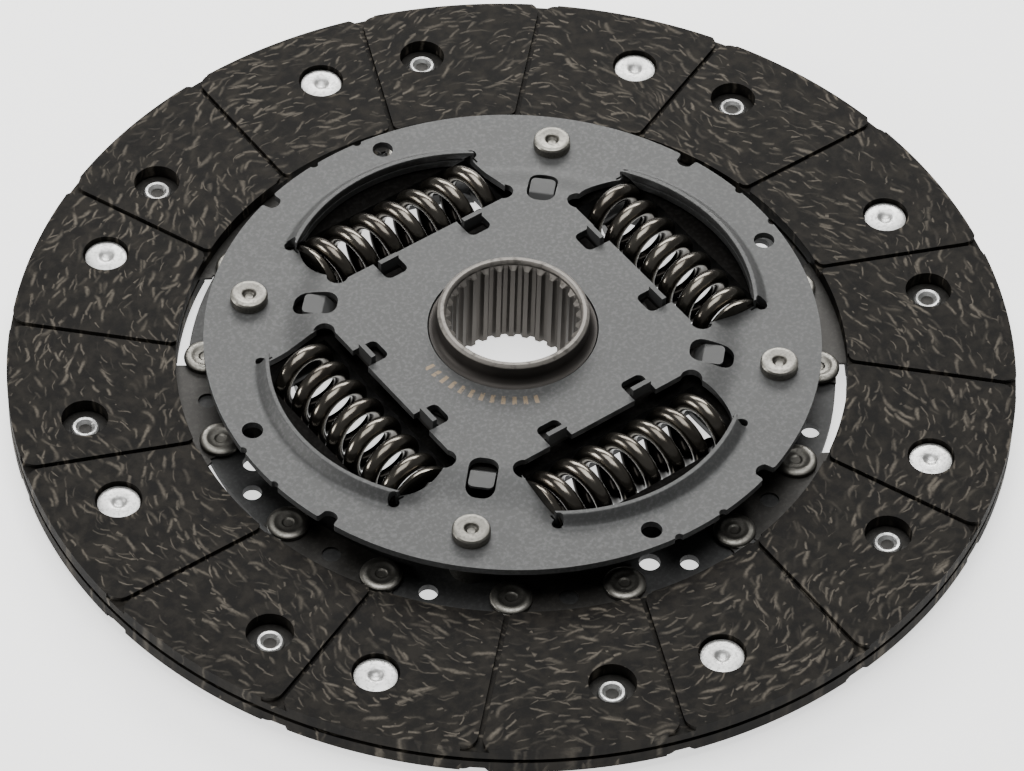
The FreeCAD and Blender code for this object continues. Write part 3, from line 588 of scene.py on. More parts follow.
def turned_steel(name, base, rough=0.28, metallic=1.0, scratch=0.05):
    """Machined or headed steel, with fine rings and darker grain."""
    shader = Shader(name)
    place = shader.place()
    x, y, z = shader.split(place)
    clouds = shader.noise(place, 70.0, 4.0)
    rings = shader.noise(shader.vector(x * 60.0, y * 60.0, z * 5200.0), 1.0, 2.0)
    spots = shader.noise(place, 1500.0, 3.0).between(0.46, 0.66)
    dark = tuple(c * 0.5 for c in base)
    tone = shader.mix(clouds.between(0.35, 0.7) * 0.5, base, dark)
    shader.set(Base_Color=shader.mix(spots * 0.55, tone, dark),
               Roughness=rough + 0.18 * clouds + 0.12 * spots,
               Metallic=metallic,
               Normal=shader.bump(rings, scratch * MM, 0.4))
    return shader.material


def oiled_wire(colours):
    """Dark drawn wire with an oily shine. Painted shade turns the lower half of each coil near black."""
    shader = Shader("coil_steel")
    place = shader.place()
    clouds = shader.noise(place, 130.0, 3.0)
    grain = shader.noise(place, 900.0, 2.0)
    height = shader.split(place)[2] * 1000.0
    tone = shader.mix(clouds.between(0.35, 0.7), colours.wire, (0.070, 0.062, 0.052))
    # Painted shade: below the spring's middle height the wire is near black, as its underside lies in shade.
    shader.set(Base_Color=shader.mix(height.between(10.0, 17.0), (0.010, 0.009, 0.008), tone),
               Roughness=0.17 + 0.08 * clouds, Metallic=0.97, Normal=shader.bump(grain, 0.02 * MM, 0.4))
    return shader.material


def filled_plastic():
    shader = Shader("ring_plastic")
    grain = shader.noise(shader.place(), 700.0, 3.0)
    shader.set(Base_Color=shader.mix(grain, (0.014, 0.013, 0.012), (0.035, 0.032, 0.028)),
               Roughness=0.5 + 0.2 * grain, Normal=shader.bump(grain, 0.03 * MM, 0.4))
    return shader.material


def make_materials(colours):
    MATERIALS.update({
        "friction_lining": lining(colours),
        "plate_steel": sheet_steel("plate_steel", tuple(colours.sheet), tick=tuple(colours.tick)),
        # The carrier's sheet is the cover's sheet at 0.45 of its brightness: painted shade for the carrier
        # lying under the cover.
        "carrier_painted_shade_steel": sheet_steel("carrier_painted_shade_steel", scaled(colours.sheet, 0.45), 0.2, 0.5, 0.4),
        "ring_steel": ring_steel(colours),
        "spring_steel": sheet_steel("spring_steel", scaled(colours.dark_steel, 0.75), 0.30, 0.44, 0.5),
        "flange_steel": sheet_steel("flange_steel", (0.004, 0.0035, 0.003), 0.05, 0.75, 0.9),
        "rivet_bright": turned_steel("rivet_bright", tuple(colours.bright), 0.34),
        "rivet_steel": turned_steel("rivet_steel", tuple(colours.pin), 0.30),
        "hub_steel": hub_steel(colours),
        "coil_steel": oiled_wire(colours),
        "ring_plastic": filled_plastic(),
    })


# Facings and their rivets


def groove(sizes, low, high):
    """One groove with its rounded mouths at the rim and at the bore."""
    half, offset = sizes.groove_width / 2, sizes.groove_offset
    rim = math.sqrt(sizes.outer_radius**2 - offset**2)
    bore = math.sqrt(sizes.inner_radius**2 - offset**2)
    big, small = sizes.rim_corner, sizes.bore_corner
    flank = [(bore - 4 * MM, -half - small)]
    flank += arc(bore + small, -half - small, small, 180, 90, 6)
    flank += arc(rim - big, -half - big, big, 90, 0, 8)
    flank += [(rim + 4 * MM, -half - big)]
    outline = [(x, offset + y) for x, y in flank] + [(x, offset - y) for x, y in reversed(flank)]
    cutter = prism("groove", outline, low, high)
    cutter.data.transform(Matrix.Rotation(sizes.groove_heading, 4, "Z"))
    return cutter


def facing(name, sizes, face, back, own, other):
    """A facing. face is the height of its friction side and back of its other side."""
    up = 1 if face > back else -1
    low, high = sorted((face, back))
    ring = turned(name, [(sizes.inner_radius, low), (sizes.outer_radius, low), (sizes.outer_radius, high),
                         (sizes.inner_radius, high)], 288)
    deep, past = face - up * sizes.groove_depth, face + up * MM
    combine(ring, ring_of(groove(sizes, min(deep, past), max(deep, past)), 16))
    bores = []
    for place, radius, start in (
            (own, sizes.hole_radius, back + up * sizes.floor), (own, 2.5 * MM, back - up * MM),
            (other, sizes.hole_radius, back - up * MM)):
        x, y = polar(sizes.rivet_ring, math.degrees(place))
        bores.append(rod("bore", x, y, radius, min(start, past), max(start, past)))
    combine(ring, ring_of(joined(bores), 8), crossing=True)
    flattened(ring)
    return softened(ring, 0.22 * MM)


def facing_rivet(head_top, up):
    """A tubular rivet. Its head has a dimple and its other end is rolled over, with a cup."""
    thick, reach, shank = 1.1 * MM, 2.1 * MM, 2.4 * MM
    tail, roll = 3.4 * MM, 1.0 * MM
    outline = [(0, -0.95), (0.8, -0.86), (1.35, -0.50), (1.75, -0.16), (2.1, -0.04), (2.6, 0.0),
               (3.9, -0.05), (4.7, -0.20), (5.0, -0.30), (5.1, -0.55), (5.1, -0.95), (5.0, -1.1),
               (2.4, -1.1)]
    under = head_top - up * (thick + reach)
    section = [(r * MM, head_top + up * z * MM) for r, z in outline]
    section += [(shank, under), (tail - 0.2 * MM, under), (tail, under - up * 0.25 * MM),
                (tail - 0.15 * MM, under - up * 0.7 * MM), (tail - 0.55 * MM, under - up * roll),
                (tail - 1.1 * MM, under - up * 0.85 * MM), (1.55 * MM, under - up * 0.1 * MM),
                (1.3 * MM, under + up * 0.9 * MM), (0, under + up * 1.1 * MM)]
    return shaded(turned("rivet", section, 40), 28.0)


class DISC_OT_facings(bpy.types.Operator):
    """Builds both facings and their rivets"""

    bl_idname = "disc.facings"
    bl_label = "Facings and rivets"

    def execute(self, context):
        sizes = context.scene.disc_facing
        front, rear = sizes.front_rivet, sizes.rear_rivet
        piece(facing("front", sizes, FRONT_FACE, FRONT_BACK, front, rear), "lining_front", "plates",
              "friction_lining", ["facing_front"])
        piece(facing("rear", sizes, REAR_FACE, CARRIER_TOP, rear, front), "lining_rear", "plates",
              "friction_lining", ["facing_rear"])
        for side, own, head_top, up in (("front", front, top_of("facing_rivets_front"), 1),
                                        ("rear", rear, foot_of("facing_rivets_rear"), -1)):
            x, y = polar(sizes.rivet_ring, math.degrees(own))
            rivet = facing_rivet(head_top, up)
            rivet.data.transform(Matrix.Translation((x, y, 0)))
            piece(ring_of(rivet, 8), "lining_rivets_" + side, "plates", "rivet_bright",
                  ["facing_rivets_" + side])
        return {"FINISHED"}


# Plates, segments and their fasteners


def window_tool(sizes, low, high):
    """The opening shared by both plates: a straight inner edge, two ends and the lip's free edge."""
    half, centre, radius = sizes.window_half, sizes.lip_centre, sizes.lip_radius
    lean = math.degrees(math.asin(half / radius))
    outline = [(sizes.window_inner, half), (sizes.window_inner, -half)]
    outline += arc(centre, 0, radius, -lean, lean, 40)
    return prism("window", outline, low, high)


def lip_band(sizes, root, free, sheet, foot, up):
    """A lip: rolled up from the sheet about its own centre, with a flat top edge."""
    inner, rise = sizes.lip_radius, free - root
    outline = [(4.6, root - 0.02 * up * MM), (3.6, root + 0.04 * rise), (3.0, root + 0.14 * rise),
               (2.3, root + 0.40 * rise), (1.7, root + 0.68 * rise), (1.25, root + 0.90 * rise),
               (1.05, root + 0.97 * rise), (0.85, free), (0.12, free), (0.0, free - 0.12 * up * MM),
               (0.0, sheet), (0.6, foot + 0.25 * (sheet - foot)), (1.2, foot), (4.6, foot)]
    section = [(inner + r * MM, z) for r, z in outline]
    sweep = 2 * math.degrees(math.asin(sizes.window_half / inner)) + 2.0
    return turned("lip", section, 44, sweep, sizes.lip_centre)


def spring_tool(half):
    """Room for a spring inside a lip."""
    tool = rod("room", 0, 0, SPRING_ROOM, -half, half, 48)
    axis = Matrix.Translation((SPRING_RING, 0, SPRING_AXIS_Z))
    tool.data.transform(axis @ Matrix.Rotation(math.pi / 2, 4, "X"))
    return tool


def shared_holes(sizes, low, high):
    """Pin hole and locating hole of one quarter of a plate."""
    px, py = polar(sizes.pin_ring, 45)
    tx, ty = polar(TOOL_RING, TOOL_ANGLE)
    return [rod("pin_hole", px, py, 3.45 * MM, low, high), rod("tool_hole", tx, ty, 2.5 * MM, low, high)]


def slot_outline(inner, outer, width, corner):
    """A round-cornered slot that runs outward along +X."""
    side = width / 2 - corner
    outline = []
    for x, y, start in ((outer - corner, -side, -90), (outer - corner, side, 0),
                        (inner + corner, side, 90), (inner + corner, -side, 180)):
        outline += arc(x, y, corner, start, start + 90, 8)
    return outline


def cover(sizes):
    rim_top = COVER_TOP - sizes.joggle
    rim_low, mid_low = rim_top - sizes.thickness, COVER_TOP - sizes.thickness
    below, above = sizes.joggle_start - 2.2 * MM, sizes.joggle_start - 1.8 * MM
    steps = []
    for k in range(1, 10):
        drop = sizes.joggle * (1 - math.cos(math.pi * k / 10)) / 2
        steps.append((k / 10 * 12.0 * MM, drop))
    section = [(sizes.cover_bore, mid_low), (below, mid_low)]
    section += [(below + run, mid_low - drop) for run, drop in steps]
    section += [(sizes.joggle_end + 1.8 * MM, rim_low), (sizes.cover_radius, rim_low),
                (sizes.cover_radius, rim_top), (sizes.joggle_end + 2.2 * MM, rim_top)]
    section += [(above + run, COVER_TOP - drop) for run, drop in reversed(steps)]
    section += [(above, COVER_TOP), (sizes.cover_bore, COVER_TOP)]
    plate = turned("cover", section, 256)
    low, high = rim_low - 5 * MM, COVER_TOP + 5 * MM
    lip_top = rim_top + sizes.lip_rise
    lips = lip_band(sizes, rim_top, lip_top, lip_top - 1.3 * MM, rim_low, 1)
    combine(plate, ring_of(lips, 4), "UNION")

    cutters = [window_tool(sizes, low, high)]
    inner, half = sizes.window_inner, sizes.window_half
    for side in (-1, 1):
        cutters.append(rod("lobe", inner + 2.0 * MM, side * (half - 1.5 * MM), 2.6 * MM, low, high))
        hx, hy = polar(RELIEF_RING, side * 26.5)
        cutters.append(rod("relief", hx, hy, 1.4 * MM, low, high, 32))
        bulge = arc(45.0 * MM, side * 13.5 * MM, 14.0 * MM, side * 62.0, side * 118.0, 14)
        cutters.append(prism("bulge", bulge, low, high))
        ends = sorted((side * 26.8 * MM, side * 30.7 * MM))
        lip_end = block("lip_end", (49.0 * MM, ends[0], rim_top + 0.05 * MM), (66.0 * MM, ends[1], high))
        cutters.append(lip_end)
        edge = sorted((hy, hy - side * 0.5 * MM))
        cutters.append(block("slit", (hx - 3 * MM, edge[0], low), (hx, edge[1], high)))
        middle = side * LUG_PLACE
        outline = [(inner + 0.6 * MM, middle - 3.1 * MM), (inner + 0.6 * MM, middle + 3.1 * MM)]
        outline += arc(inner - 4.7 * MM, middle + 1.6 * MM, 1.5 * MM, 90, 180, 6)
        outline += arc(inner - 4.7 * MM, middle - 1.6 * MM, 1.5 * MM, 180, 270, 6)
        cutters.append(prism("lug_notch", outline, low, high))
    slot = prism("slot", slot_outline(42.2 * MM, 52.8 * MM, 7.0 * MM, 2.8 * MM), low, high)
    slot.data.transform(spun(45))
    cutters.append(slot)
    cutters += shared_holes(sizes, low, high)
    for place in (-5.0, 5.0):
        nx, ny = polar(73.6 * MM, place + 90.0)
        cutters.append(rod("nick", nx, ny, 1.15 * MM, low, high, 32))
    notch = arc(72.5 * MM, 0, 2.4 * MM, 128, 232, 14)
    mouth = [(72.9 * MM, -2.15 * MM), (73.6 * MM, -3.1 * MM), (75 * MM, -3.9 * MM), (75 * MM, 3.9 * MM),
             (73.6 * MM, 3.1 * MM), (72.9 * MM, 2.15 * MM)]
    scoop = prism("notch", notch + mouth, low, high)
    scoop.data.transform(spun(NOTCH_ANGLE))
    cutters.append(scoop)
    combine(plate, ring_of(joined(cutters), 4), crossing=True)
    combine(plate, ring_of(spring_tool(half), 4))
    flattened(plate)
    return softened(plate, sizes.edge_round, 2, 40.0)


def carrier(sizes):
    low_face = CARRIER_TOP - sizes.thickness
    plate = turned("carrier", [(sizes.carrier_bore, low_face), (sizes.carrier_radius, low_face),
                               (sizes.carrier_radius, CARRIER_TOP), (sizes.carrier_bore, CARRIER_TOP)], 256)
    low, high = low_face - 4 * MM, CARRIER_TOP + 2 * MM
    lip_foot = low_face - sizes.lip_drop
    lips = lip_band(sizes, low_face, lip_foot, lip_foot + 1.3 * MM, CARRIER_TOP, -1)
    combine(plate, ring_of(lips, 4), "UNION")
    cutters = [window_tool(sizes, low, high)] + shared_holes(sizes, low, high)
    for place in DRAIN_ANGLES:
        x, y = polar(sizes.rivet_ring, place)
        cutters.append(rod("drain", x, y, SMALL_HOLE, low, high))
    combine(plate, ring_of(joined(cutters), 4), crossing=True)
    foot, half = math.degrees(sizes.first_foot), math.degrees(sizes.rivet_half)
    feet = []
    for place in (foot - half, foot + half):
        x, y = polar(sizes.rivet_ring, place)
        feet.append(rod("rivet_hole", x, y, RIVET_HOLE, low, high))
    combine(plate, ring_of(joined(feet), 8))
    combine(plate, ring_of(spring_tool(sizes.window_half), 4))
    flattened(plate)
    return softened(plate, sizes.edge_round, 2, 40.0)


def segment(sizes):
    """The first cushion segment: foot, neck and blade in one sheet. Its right half rises to the front."""
    thick, rise = 0.7 * MM, 0.5 * MM
    outline = arc(0, 0, 67.5 * MM, -13.6, 13.6, 16)
    outline += arc(0, 0, 77.4 * MM, 13.6, 14.4, 1)
    outline += arc(0, 0, 80.4 * MM, 15.4, 16.6, 1)
    outline += arc(0, 0, 82.5 * MM, 17.6, 31.4, 8)
    outline += arc(0, 0, 117.6 * MM, 31.4, -11.7, 30)
    for radius, place in ((82.5, -11.7), (82.5, -9.6), (80.6, -8.9), (77.4, -8.9), (77.4, -13.6)):
        outline.append(polar(radius * MM, place))
    keep = []
    for point in outline:
        if not keep or math.dist(point, keep[-1]) > 0.05 * MM:
            keep.append(point)
    sheet = prism("segment", keep, CARRIER_TOP, CARRIER_TOP + thick)
    for turn in (RISE_START, 12.8, 13.4, 14.0, RISE_START + RISE_RUN):
        open_mesh(sheet)
        nx, ny = polar(1.0, turn + 90)
        bpy.ops.mesh.bisect(plane_co=(0, 0, 0), plane_no=(nx, ny, 0), threshold=1e-6)
        close_mesh()
    for vertex in sheet.data.vertices:
        x, y, z = vertex.co
        share = clamped((math.degrees(math.atan2(y, x)) - RISE_START) / RISE_RUN)
        share = share * clamped((math.hypot(x, y) - 81.0 * MM) / (1.6 * MM))
        vertex.co.z = z + rise * share * share * (3 - 2 * share)
    tools = []
    half = math.degrees(sizes.rivet_half)
    for place, radius in ((-half, RIVET_HOLE), (0, SMALL_HOLE), (half, RIVET_HOLE)):
        x, y = polar(sizes.rivet_ring, place)
        tools.append(rod("hole", x, y, radius, CARRIER_TOP - MM, CARRIER_TOP + 2 * MM))
    combine(sheet, joined(tools))
    sheet.data.transform(spun(math.degrees(sizes.first_foot)))
    return softened(sheet, 0.1 * MM, 1, 50.0)


def segment_rivet():
    """A solid rivet whose dished front head carries fine turned rings."""
    top = top_of("segment_rivets")
    foot = foot_of("segment_rivets")
    outline = [(0, -0.62), (0.9, -0.62), (1.25, -0.55), (1.5, -0.36), (1.9, -0.30), (2.5, -0.26),
               (2.62, -0.20), (3.0, -0.12), (3.12, -0.05), (3.5, 0.0), (4.1, -0.03), (4.6, -0.18),
               (4.9, -0.45), (5.0, -0.8), (4.95, -1.2), (4.75, -1.5), (2.6, -1.5)]
    section = [(r * MM, top + z * MM) for r, z in outline]
    section += [(2.6 * MM, foot + 1.3 * MM), (4.0 * MM, foot + 1.3 * MM), (4.2 * MM, foot + 1.0 * MM),
                (4.1 * MM, foot + 0.35 * MM), (3.6 * MM, foot), (0, foot)]
    return shaded(turned("segment_rivet", section, 48), 26.0)


def stop_pin():
    """A pin with a shoulder between the plates and an upset head at each end."""
    top, foot = top_of("stop_pin_1"), foot_of("stop_pin_1")
    rim_top = COVER_TOP - 2.6 * MM
    head = [(0, 1.3), (0.9, 1.25), (1.35, 0.9), (1.6, 0.3), (1.85, 0.16), (2.6, 0.12), (3.2, 0.02),
            (3.7, 0.01), (4.15, 0.18), (4.45, 0.6), (4.5, 1.2)]
    rows = [(radius, top - depth * MM) for radius, depth in head]
    rows += [(4.5, rim_top), (3.45, rim_top), (3.45, COVER_RIM_BOTTOM), (5.0, COVER_RIM_BOTTOM),
             (5.0, CARRIER_TOP), (3.45, CARRIER_TOP), (3.45, foot + 1.4 * MM), (4.5, foot + 1.4 * MM),
             (4.45, foot + 0.5 * MM), (3.9, foot), (0, foot)]
    return shaded(turned("stop_pin", [(radius * MM, height) for radius, height in rows], 48), 26.0)


class DISC_OT_plates(bpy.types.Operator):
    """Builds the carrier plate and the cover plate"""

    bl_idname = "disc.plates"
    bl_label = "Carrier and cover"

    def execute(self, context):
        sizes = context.scene.disc_plate
        piece(carrier(sizes), "carrier", "plates", "plate_steel", ["carrier_plate"], "carrier_painted_shade_steel")
        piece(cover(sizes), "cover", "plates", "plate_steel", ["cover_plate"])
        return {"FINISHED"}


class DISC_OT_segments(bpy.types.Operator):
    """Builds the eight cushion segments and their rivets"""

    bl_idname = "disc.segments"
    bl_label = "Cushion segments"

    def execute(self, context):
        sizes = context.scene.disc_plate
        first = segment(sizes)
        twins = [first] + [copied(first, spun(45.0 * k)) for k in range(1, 8)]
        for number, twin in enumerate(twins, start=1):
            piece(twin, "segment_%d" % number, "plates", "spring_steel", ["cushion_segment_%d" % number])
        rivets = []
        foot, half = math.degrees(sizes.first_foot), math.degrees(sizes.rivet_half)
        for side in (-1, 1):
            x, y = polar(sizes.rivet_ring, foot + side * half)
            rivet = segment_rivet()
            rivet.data.transform(Matrix.Translation((x, y, 0)))
            rivets.append(rivet)
        piece(ring_of(joined(rivets), 8), "foot_rivets", "plates", "rivet_steel", ["segment_rivets"])
        return {"FINISHED"}


class DISC_OT_pins(bpy.types.Operator):
    """Builds the four stop pins"""

    bl_idname = "disc.pins"
    bl_label = "Stop pins"

    def execute(self, context):
        sizes = context.scene.disc_plate
        for number in range(1, 5):
            x, y = polar(sizes.pin_ring, 45 + 90 * (number - 1))
            pin = stop_pin()
            pin.data.transform(Matrix.Translation((x, y, 0)))
            piece(pin, "pin_%d" % number, "plates", "rivet_steel", ["stop_pin_%d" % number])
        return {"FINISHED"}


# Friction pack


def lug_plate(sizes):
    low, high = foot_of("lug_plate"), top_of("lug_plate")
    sheet_top = COVER_TOP - sizes.thickness
    face = sheet_top - 0.01 * MM
    plate = turned("lugs", [(LUG_PLATE_BORE, low), (LUG_PLATE_RIM, low), (LUG_PLATE_RIM, face),
                            (LUG_PLATE_BORE, face)], 128)
    lugs = []
    for side in (-1, 1):
        middle = side * LUG_PLACE
        lug = block("lug", (LUG_PLATE_RIM, middle - 2.6 * MM, low), (34.2 * MM, middle + 2.6 * MM, high))
        root = block("root", (27.0 * MM, middle - 4.4 * MM, low + 0.01 * MM),
                     (34.19 * MM, middle + 4.4 * MM, sheet_top - 0.02 * MM))
        gap = block("gap", (26.0 * MM, middle - 3.0 * MM, low - MM),
                    (LUG_PLATE_RIM, middle + 3.0 * MM, high))
        combine(root, gap)
        lugs.append(combine(lug, root, "UNION"))
    gaps = [block("gap", (29.0 * MM, side * LUG_PLACE - 3.0 * MM, low - MM),
                  (32.9 * MM, side * LUG_PLACE + 3.0 * MM, high)) for side in (-1, 1)]
    combine(plate, ring_of(joined(gaps), 4))
    combine(plate, ring_of(joined(lugs), 4), "UNION", crossing=True)
    flattened(plate)
    return softened(plate, 0.16 * MM, 2, 40.0)


def thrust_ring():
    """A ring whose four tongues rise to the slots of the cover."""
    low = foot_of("thrust_ring")
    bore, rim, thick = 24.5 * MM, 33.5 * MM, 0.8 * MM
    plate = turned("thrust", [(bore, low), (rim, low), (rim, low + thick), (bore, low + thick)], 128)
    half, corner = 3.0 * MM, 1.2 * MM
    outline = [(31.0 * MM, -half)]
    outline += arc(49.2 * MM, -half + corner, corner, -90, 0, 5)
    outline += arc(49.2 * MM, half - corner, corner, 0, 90, 5)
    outline += [(31.0 * MM, half)]
    tongue = prism("tongue", outline, low + 0.02 * MM, low + thick - 0.02 * MM)
    for place in (42.8, 43.3, 45.3, 45.8):
        open_mesh(tongue)
        bpy.ops.mesh.bisect(plane_co=(place * MM, 0, 0), plane_no=(1, 0, 0), threshold=1e-6)
        close_mesh()
    rise = COVER_TOP - 0.95 * MM - low - thick
    for vertex in tongue.data.vertices:
        share = clamped((vertex.co.x - TONGUE_BEND) / (3.0 * MM))
        vertex.co.z += rise * share * share * (3 - 2 * share)
    tongue.data.transform(spun(45))
    combine(plate, ring_of(tongue, 4), "UNION")
    return softened(plate, 0.12 * MM, 2, 40.0)


class DISC_OT_friction_pack(bpy.types.Operator):
    """Builds the lug plate and the thrust ring, and dresses the rings that stay hidden between the plates"""

    bl_idname = "disc.friction_pack"
    bl_label = "Friction pack"

    def execute(self, context):
        sizes = context.scene.disc_plate
        piece(lug_plate(sizes), "lugs", "plates", "spring_steel", ["lug_plate"], "ring_steel")
        piece(thrust_ring(), "thrust", "plates", "spring_steel", ["thrust_ring"], "ring_steel")
        for node, slot in (("disc_spring", "spring_steel"), ("friction_ring", "ring_plastic"),
                           ("friction_bush", "ring_plastic"), ("hub_flange", "flange_steel")):
            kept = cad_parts[node]
            kept.data.materials.clear()
            kept.data.materials.append(MATERIALS[slot])
        return {"FINISHED"}


# Hub and springs


def hub(sizes):
    """The splined hub: a turned blank with its tooth spaces cut out."""
    seat_low, seat_high = foot_of("hub_flange"), top_of("hub_flange")
    body, nose, edge = sizes.body_radius, sizes.nose_radius, 0.8 * MM
    root, bore = sizes.root_radius, sizes.tip_radius
    plain, mouth = root + 0.05 * MM, HUB_TOP - sizes.mouth
    step_foot, cove = COVER_TOP - 0.3 * MM, body - nose
    section = [(body - edge, 0), (body, edge), (body, seat_low), (sizes.seat_radius, seat_low),
               (sizes.seat_radius, seat_high), (body, seat_high), (body, step_foot)]
    for k in range(1, 8):
        turn = math.radians(90.0 * k / 8)
        section.append((nose + cove * (1 - math.sin(turn)), step_foot + cove * (1 - math.cos(turn))))
    section += [(nose, step_foot + cove), (nose, HUB_TOP - edge), (nose - 0.2 * MM, HUB_TOP - 0.45 * MM),
                (nose - edge, HUB_TOP), (plain + 0.5 * MM, HUB_TOP), (plain, HUB_TOP - 0.5 * MM),
                (plain, mouth), (bore, mouth - 0.9 * MM), (bore, 0.3 * MM), (bore + 0.3 * MM, 0)]
    blank = turned("hub", section, 232)
    step = 360.0 / sizes.teeth
    inner, outer = 1.05 * MM, 0.625 * MM
    flank = [(bore - 0.6 * MM, inner + 0.06 * MM), (bore + 0.05 * MM, inner), (bore + 0.6 * MM, 0.84 * MM),
             (root - 0.18 * MM, outer + 0.03 * MM), (root, outer - 0.14 * MM)]
    outline = [(x, -y) for x, y in flank] + flank[::-1]
    space = prism("space", outline, -MM, HUB_TOP + MM)
    space.data.transform(spun(math.degrees(sizes.first_tooth) + step / 2))
    combine(blank, ring_of(space, sizes.teeth))
    flattened(blank)
    return softened(blank, 0.10 * MM, 2, 40.0)


def coil(sizes):
    """A right-hand coil spring about its window's middle line, with its closed ends ground flat."""
    ring = sizes.outer_radius - sizes.wire_radius
    half = sizes.length / 2
    closed = (sizes.length - 6 * sizes.pitch) / 2
    sides, per_turn = 20, 40

    def along(turn):
        if abs(turn) <= 3.0:
            return turn * sizes.pitch
        return math.copysign(3.0 * sizes.pitch + (abs(turn) - 3.0) * closed, turn)

    bpy.ops.object.select_all(action="DESELECT")
    bpy.ops.curve.primitive_bezier_curve_add()
    path = bpy.context.object
    curve = path.data
    curve.splines.clear()
    spline = curve.splines.new("POLY")
    count = 8 * per_turn + 6
    spline.points.add(count)
    for k in range(count + 1):
        turn = k / per_turn - 3.50
        lean = math.radians(90.0 - 360.0 * turn)
        spline.points[k].co = (ring * math.cos(lean), along(turn), ring * math.sin(lean), 1.0)
    curve.dimensions = "3D"
    curve.twist_mode = "MINIMUM"
    curve.bevel_depth = sizes.wire_radius
    curve.bevel_resolution = sides // 2 - 2
    curve.use_fill_caps = True
    only(path)
    bpy.ops.object.convert(target="MESH")
    wire = bpy.context.object
    for side in (-1, 1):
        open_mesh(wire)
        bpy.ops.mesh.bisect(
            plane_co=(0, side * half, 0), plane_no=(0, side, 0), use_fill=True, clear_outer=True,
            threshold=1e-7)
        close_mesh()
    tidy(wire)
    wire.data.transform(Matrix.Translation((sizes.centre, 0, SPRING_AXIS_Z)))
    return shaded(wire, 40.0)


class DISC_OT_hub(bpy.types.Operator):
    """Builds the splined hub"""

    bl_idname = "disc.hub"
    bl_label = "Hub"

    def execute(self, context):
        piece(hub(context.scene.disc_hub), "splined_hub", "hub", "hub_steel", ["hub"])
        return {"FINISHED"}


class DISC_OT_springs(bpy.types.Operator):
    """Builds the four damper springs"""

    bl_idname = "disc.springs"
    bl_label = "Damper springs"

    def execute(self, context):
        sizes = context.scene.disc_spring
        first = coil(sizes)
        twins = [first] + [copied(first, spun(90.0 * k)) for k in range(1, 4)]
        for number, twin in enumerate(twins, start=1):
            if number in (1, 4):
                x, y = polar(sizes.centre, 90.0 * (number - 1))
                middle = Matrix.Translation((x, y, 0))
                twin.data.transform(middle @ spun(180.0) @ middle.inverted())
            piece(twin, "coil_%d" % number, "springs", "coil_steel", ["damper_spring_%d" % number])
            x, y = polar(1.0, 90.0 * (number - 1))
            centre = (sizes.centre * x, sizes.centre * y, SPRING_AXIS_Z)
            -y
            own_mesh(twin)
        return {"FINISHED"}


# Stage


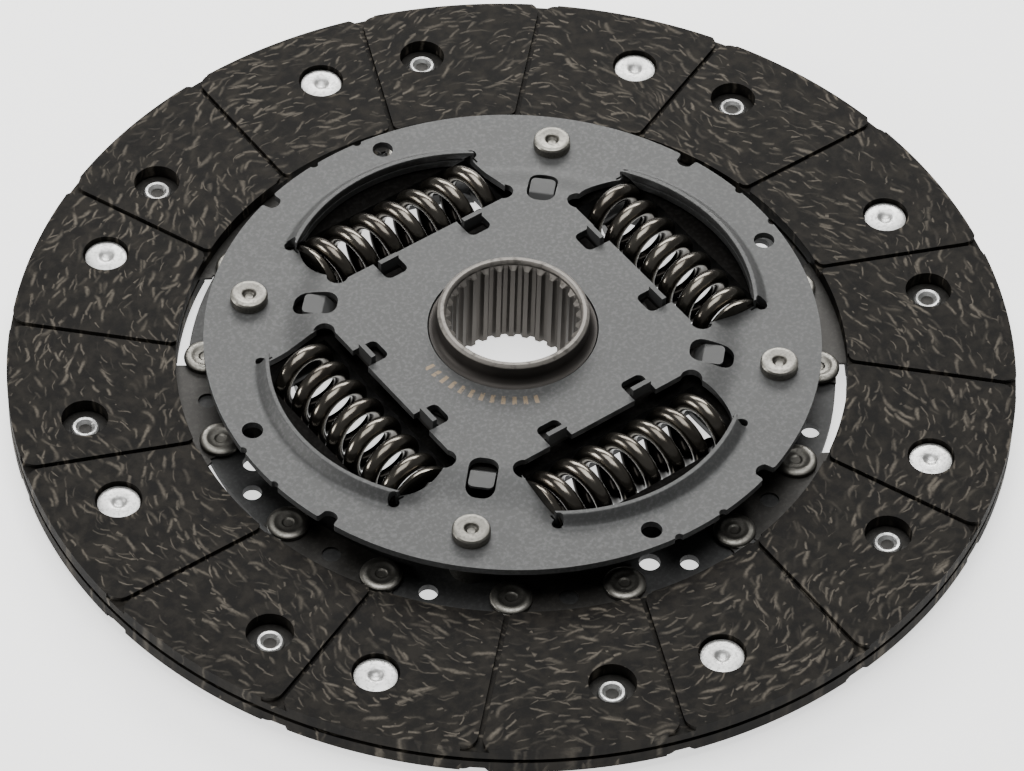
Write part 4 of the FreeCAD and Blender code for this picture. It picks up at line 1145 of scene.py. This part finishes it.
class DISC_OT_stage(bpy.types.Operator):
    """Builds the floor, the lamps and the camera"""

    bl_idname = "disc.stage"
    bl_label = "Stage"

    def execute(self, context):
        scene = context.scene
        shader = Shader("floor")
        grain = shader.noise(shader.place(), 4.0, 2.0)
        shader.set(Base_Color=shader.mix(grain, (0.90, 0.90, 0.895), (0.92, 0.92, 0.915)), Roughness=0.9)
        shader.surface.inputs["Emission Color"].default_value = (1.0, 1.0, 0.995, 1.0)
        shader.surface.inputs["Emission Strength"].default_value = 1.3
        floor = loop_of("floor", [(-3, -3, 0), (3, -3, 0), (3, 3, 0), (-3, 3, 0)], "NGON")
        floor.data.materials.append(shader.material)

        for name, place, size, energy, tint in (
                ("lamp_back", (0.66, 0.86, 0.72), (1.1, 0.45), 20.0, (1.0, 0.99, 0.97)),
                ("lamp_above", (0.05, 0.15, 1.55), (1.2, 1.2), 26.0, (1.0, 1.0, 0.99)),
                ("lamp_left", (-0.95, 0.62, 0.40), (0.45, 0.35), 7.0, (1.0, 0.985, 0.96))):
            bpy.ops.object.light_add(type="AREA", location=place)
            lamp = bpy.context.object
            lamp.name = name
            lamp.data.shape = "RECTANGLE"
            lamp.data.size, lamp.data.size_y = size
            lamp.data.energy = energy
            lamp.data.color = tint
            aim = Vector((0, 0, 0.01)) - Vector(place)
            lamp.rotation_euler = aim.to_track_quat("-Z", "Y").to_euler()

        world = bpy.data.worlds.new("studio")
        world.use_nodes = True
        world.node_tree.nodes["Background"].inputs["Color"].default_value = (0.95, 0.96, 0.97, 1.0)
        world.node_tree.nodes["Background"].inputs["Strength"].default_value = 0.20
        scene.world = world

        aim = Vector((-6.233, -8.369, 10.7)) * MM
        turn = (spun(-37.7) @ Matrix.Rotation(math.radians(90 - 47.859), 4, "X") @ spun(1.814))
        bpy.ops.object.camera_add()
        camera = bpy.context.object
        camera.name = "photo_camera"
        camera.data.lens = 185.73
        camera.data.sensor_width = 36.0
        camera.matrix_world = Matrix.Translation(aim + turn.to_3x3() @ Vector((0, 0, 1.25053))) @ turn
        scene.camera = camera
        return {"FINISHED"}


class DISC_PT_panel(bpy.types.Panel):
    """Runs the steps from the sidebar"""

    bl_idname = "DISC_PT_panel"
    bl_label = "Clutch disc"
    bl_space_type = "VIEW_3D"
    bl_region_type = "UI"
    bl_category = "Clutch disc"

    def draw(self, context):
        for step in STEPS:
            self.layout.operator(step.bl_idname)
        for group in ("disc_facing", "disc_plate", "disc_spring", "disc_hub", "disc_colours"):
            box = self.layout.box()
            sizes = getattr(context.scene, group)
            for name in sizes.bl_rna.properties.keys():
                if name not in ("rna_type", "name"):
                    box.prop(sizes, name)


STEPS = (DISC_OT_facings, DISC_OT_segments, DISC_OT_plates, DISC_OT_pins, DISC_OT_friction_pack, DISC_OT_hub,
         DISC_OT_springs, DISC_OT_stage)
GROUPS = (("disc_facing", DiscFacingSizes), ("disc_plate", DiscPlateSizes), ("disc_spring", DiscSpringSizes),
          ("disc_hub", DiscHubSizes), ("disc_colours", DiscColours))


def register():
    for name, group in GROUPS:
        bpy.utils.register_class(group)
        setattr(bpy.types.Scene, name, bpy.props.PointerProperty(type=group))
    for step in STEPS:
        bpy.utils.register_class(step)
    bpy.utils.register_class(DISC_PT_panel)


def unregister():
    bpy.utils.unregister_class(DISC_PT_panel)
    for step in reversed(STEPS):
        bpy.utils.unregister_class(step)
    for name, group in reversed(GROUPS):
        delattr(bpy.types.Scene, name)
        bpy.utils.unregister_class(group)


def main():
    register()
    make_materials(bpy.context.scene.disc_colours)
    bpy.ops.disc.facings()
    bpy.ops.disc.segments()
    bpy.ops.disc.plates()
    bpy.ops.disc.pins()
    bpy.ops.disc.friction_pack()
    bpy.ops.disc.hub()
    bpy.ops.disc.springs()
    bpy.ops.disc.stage()


if __name__ == "__main__":
    main()
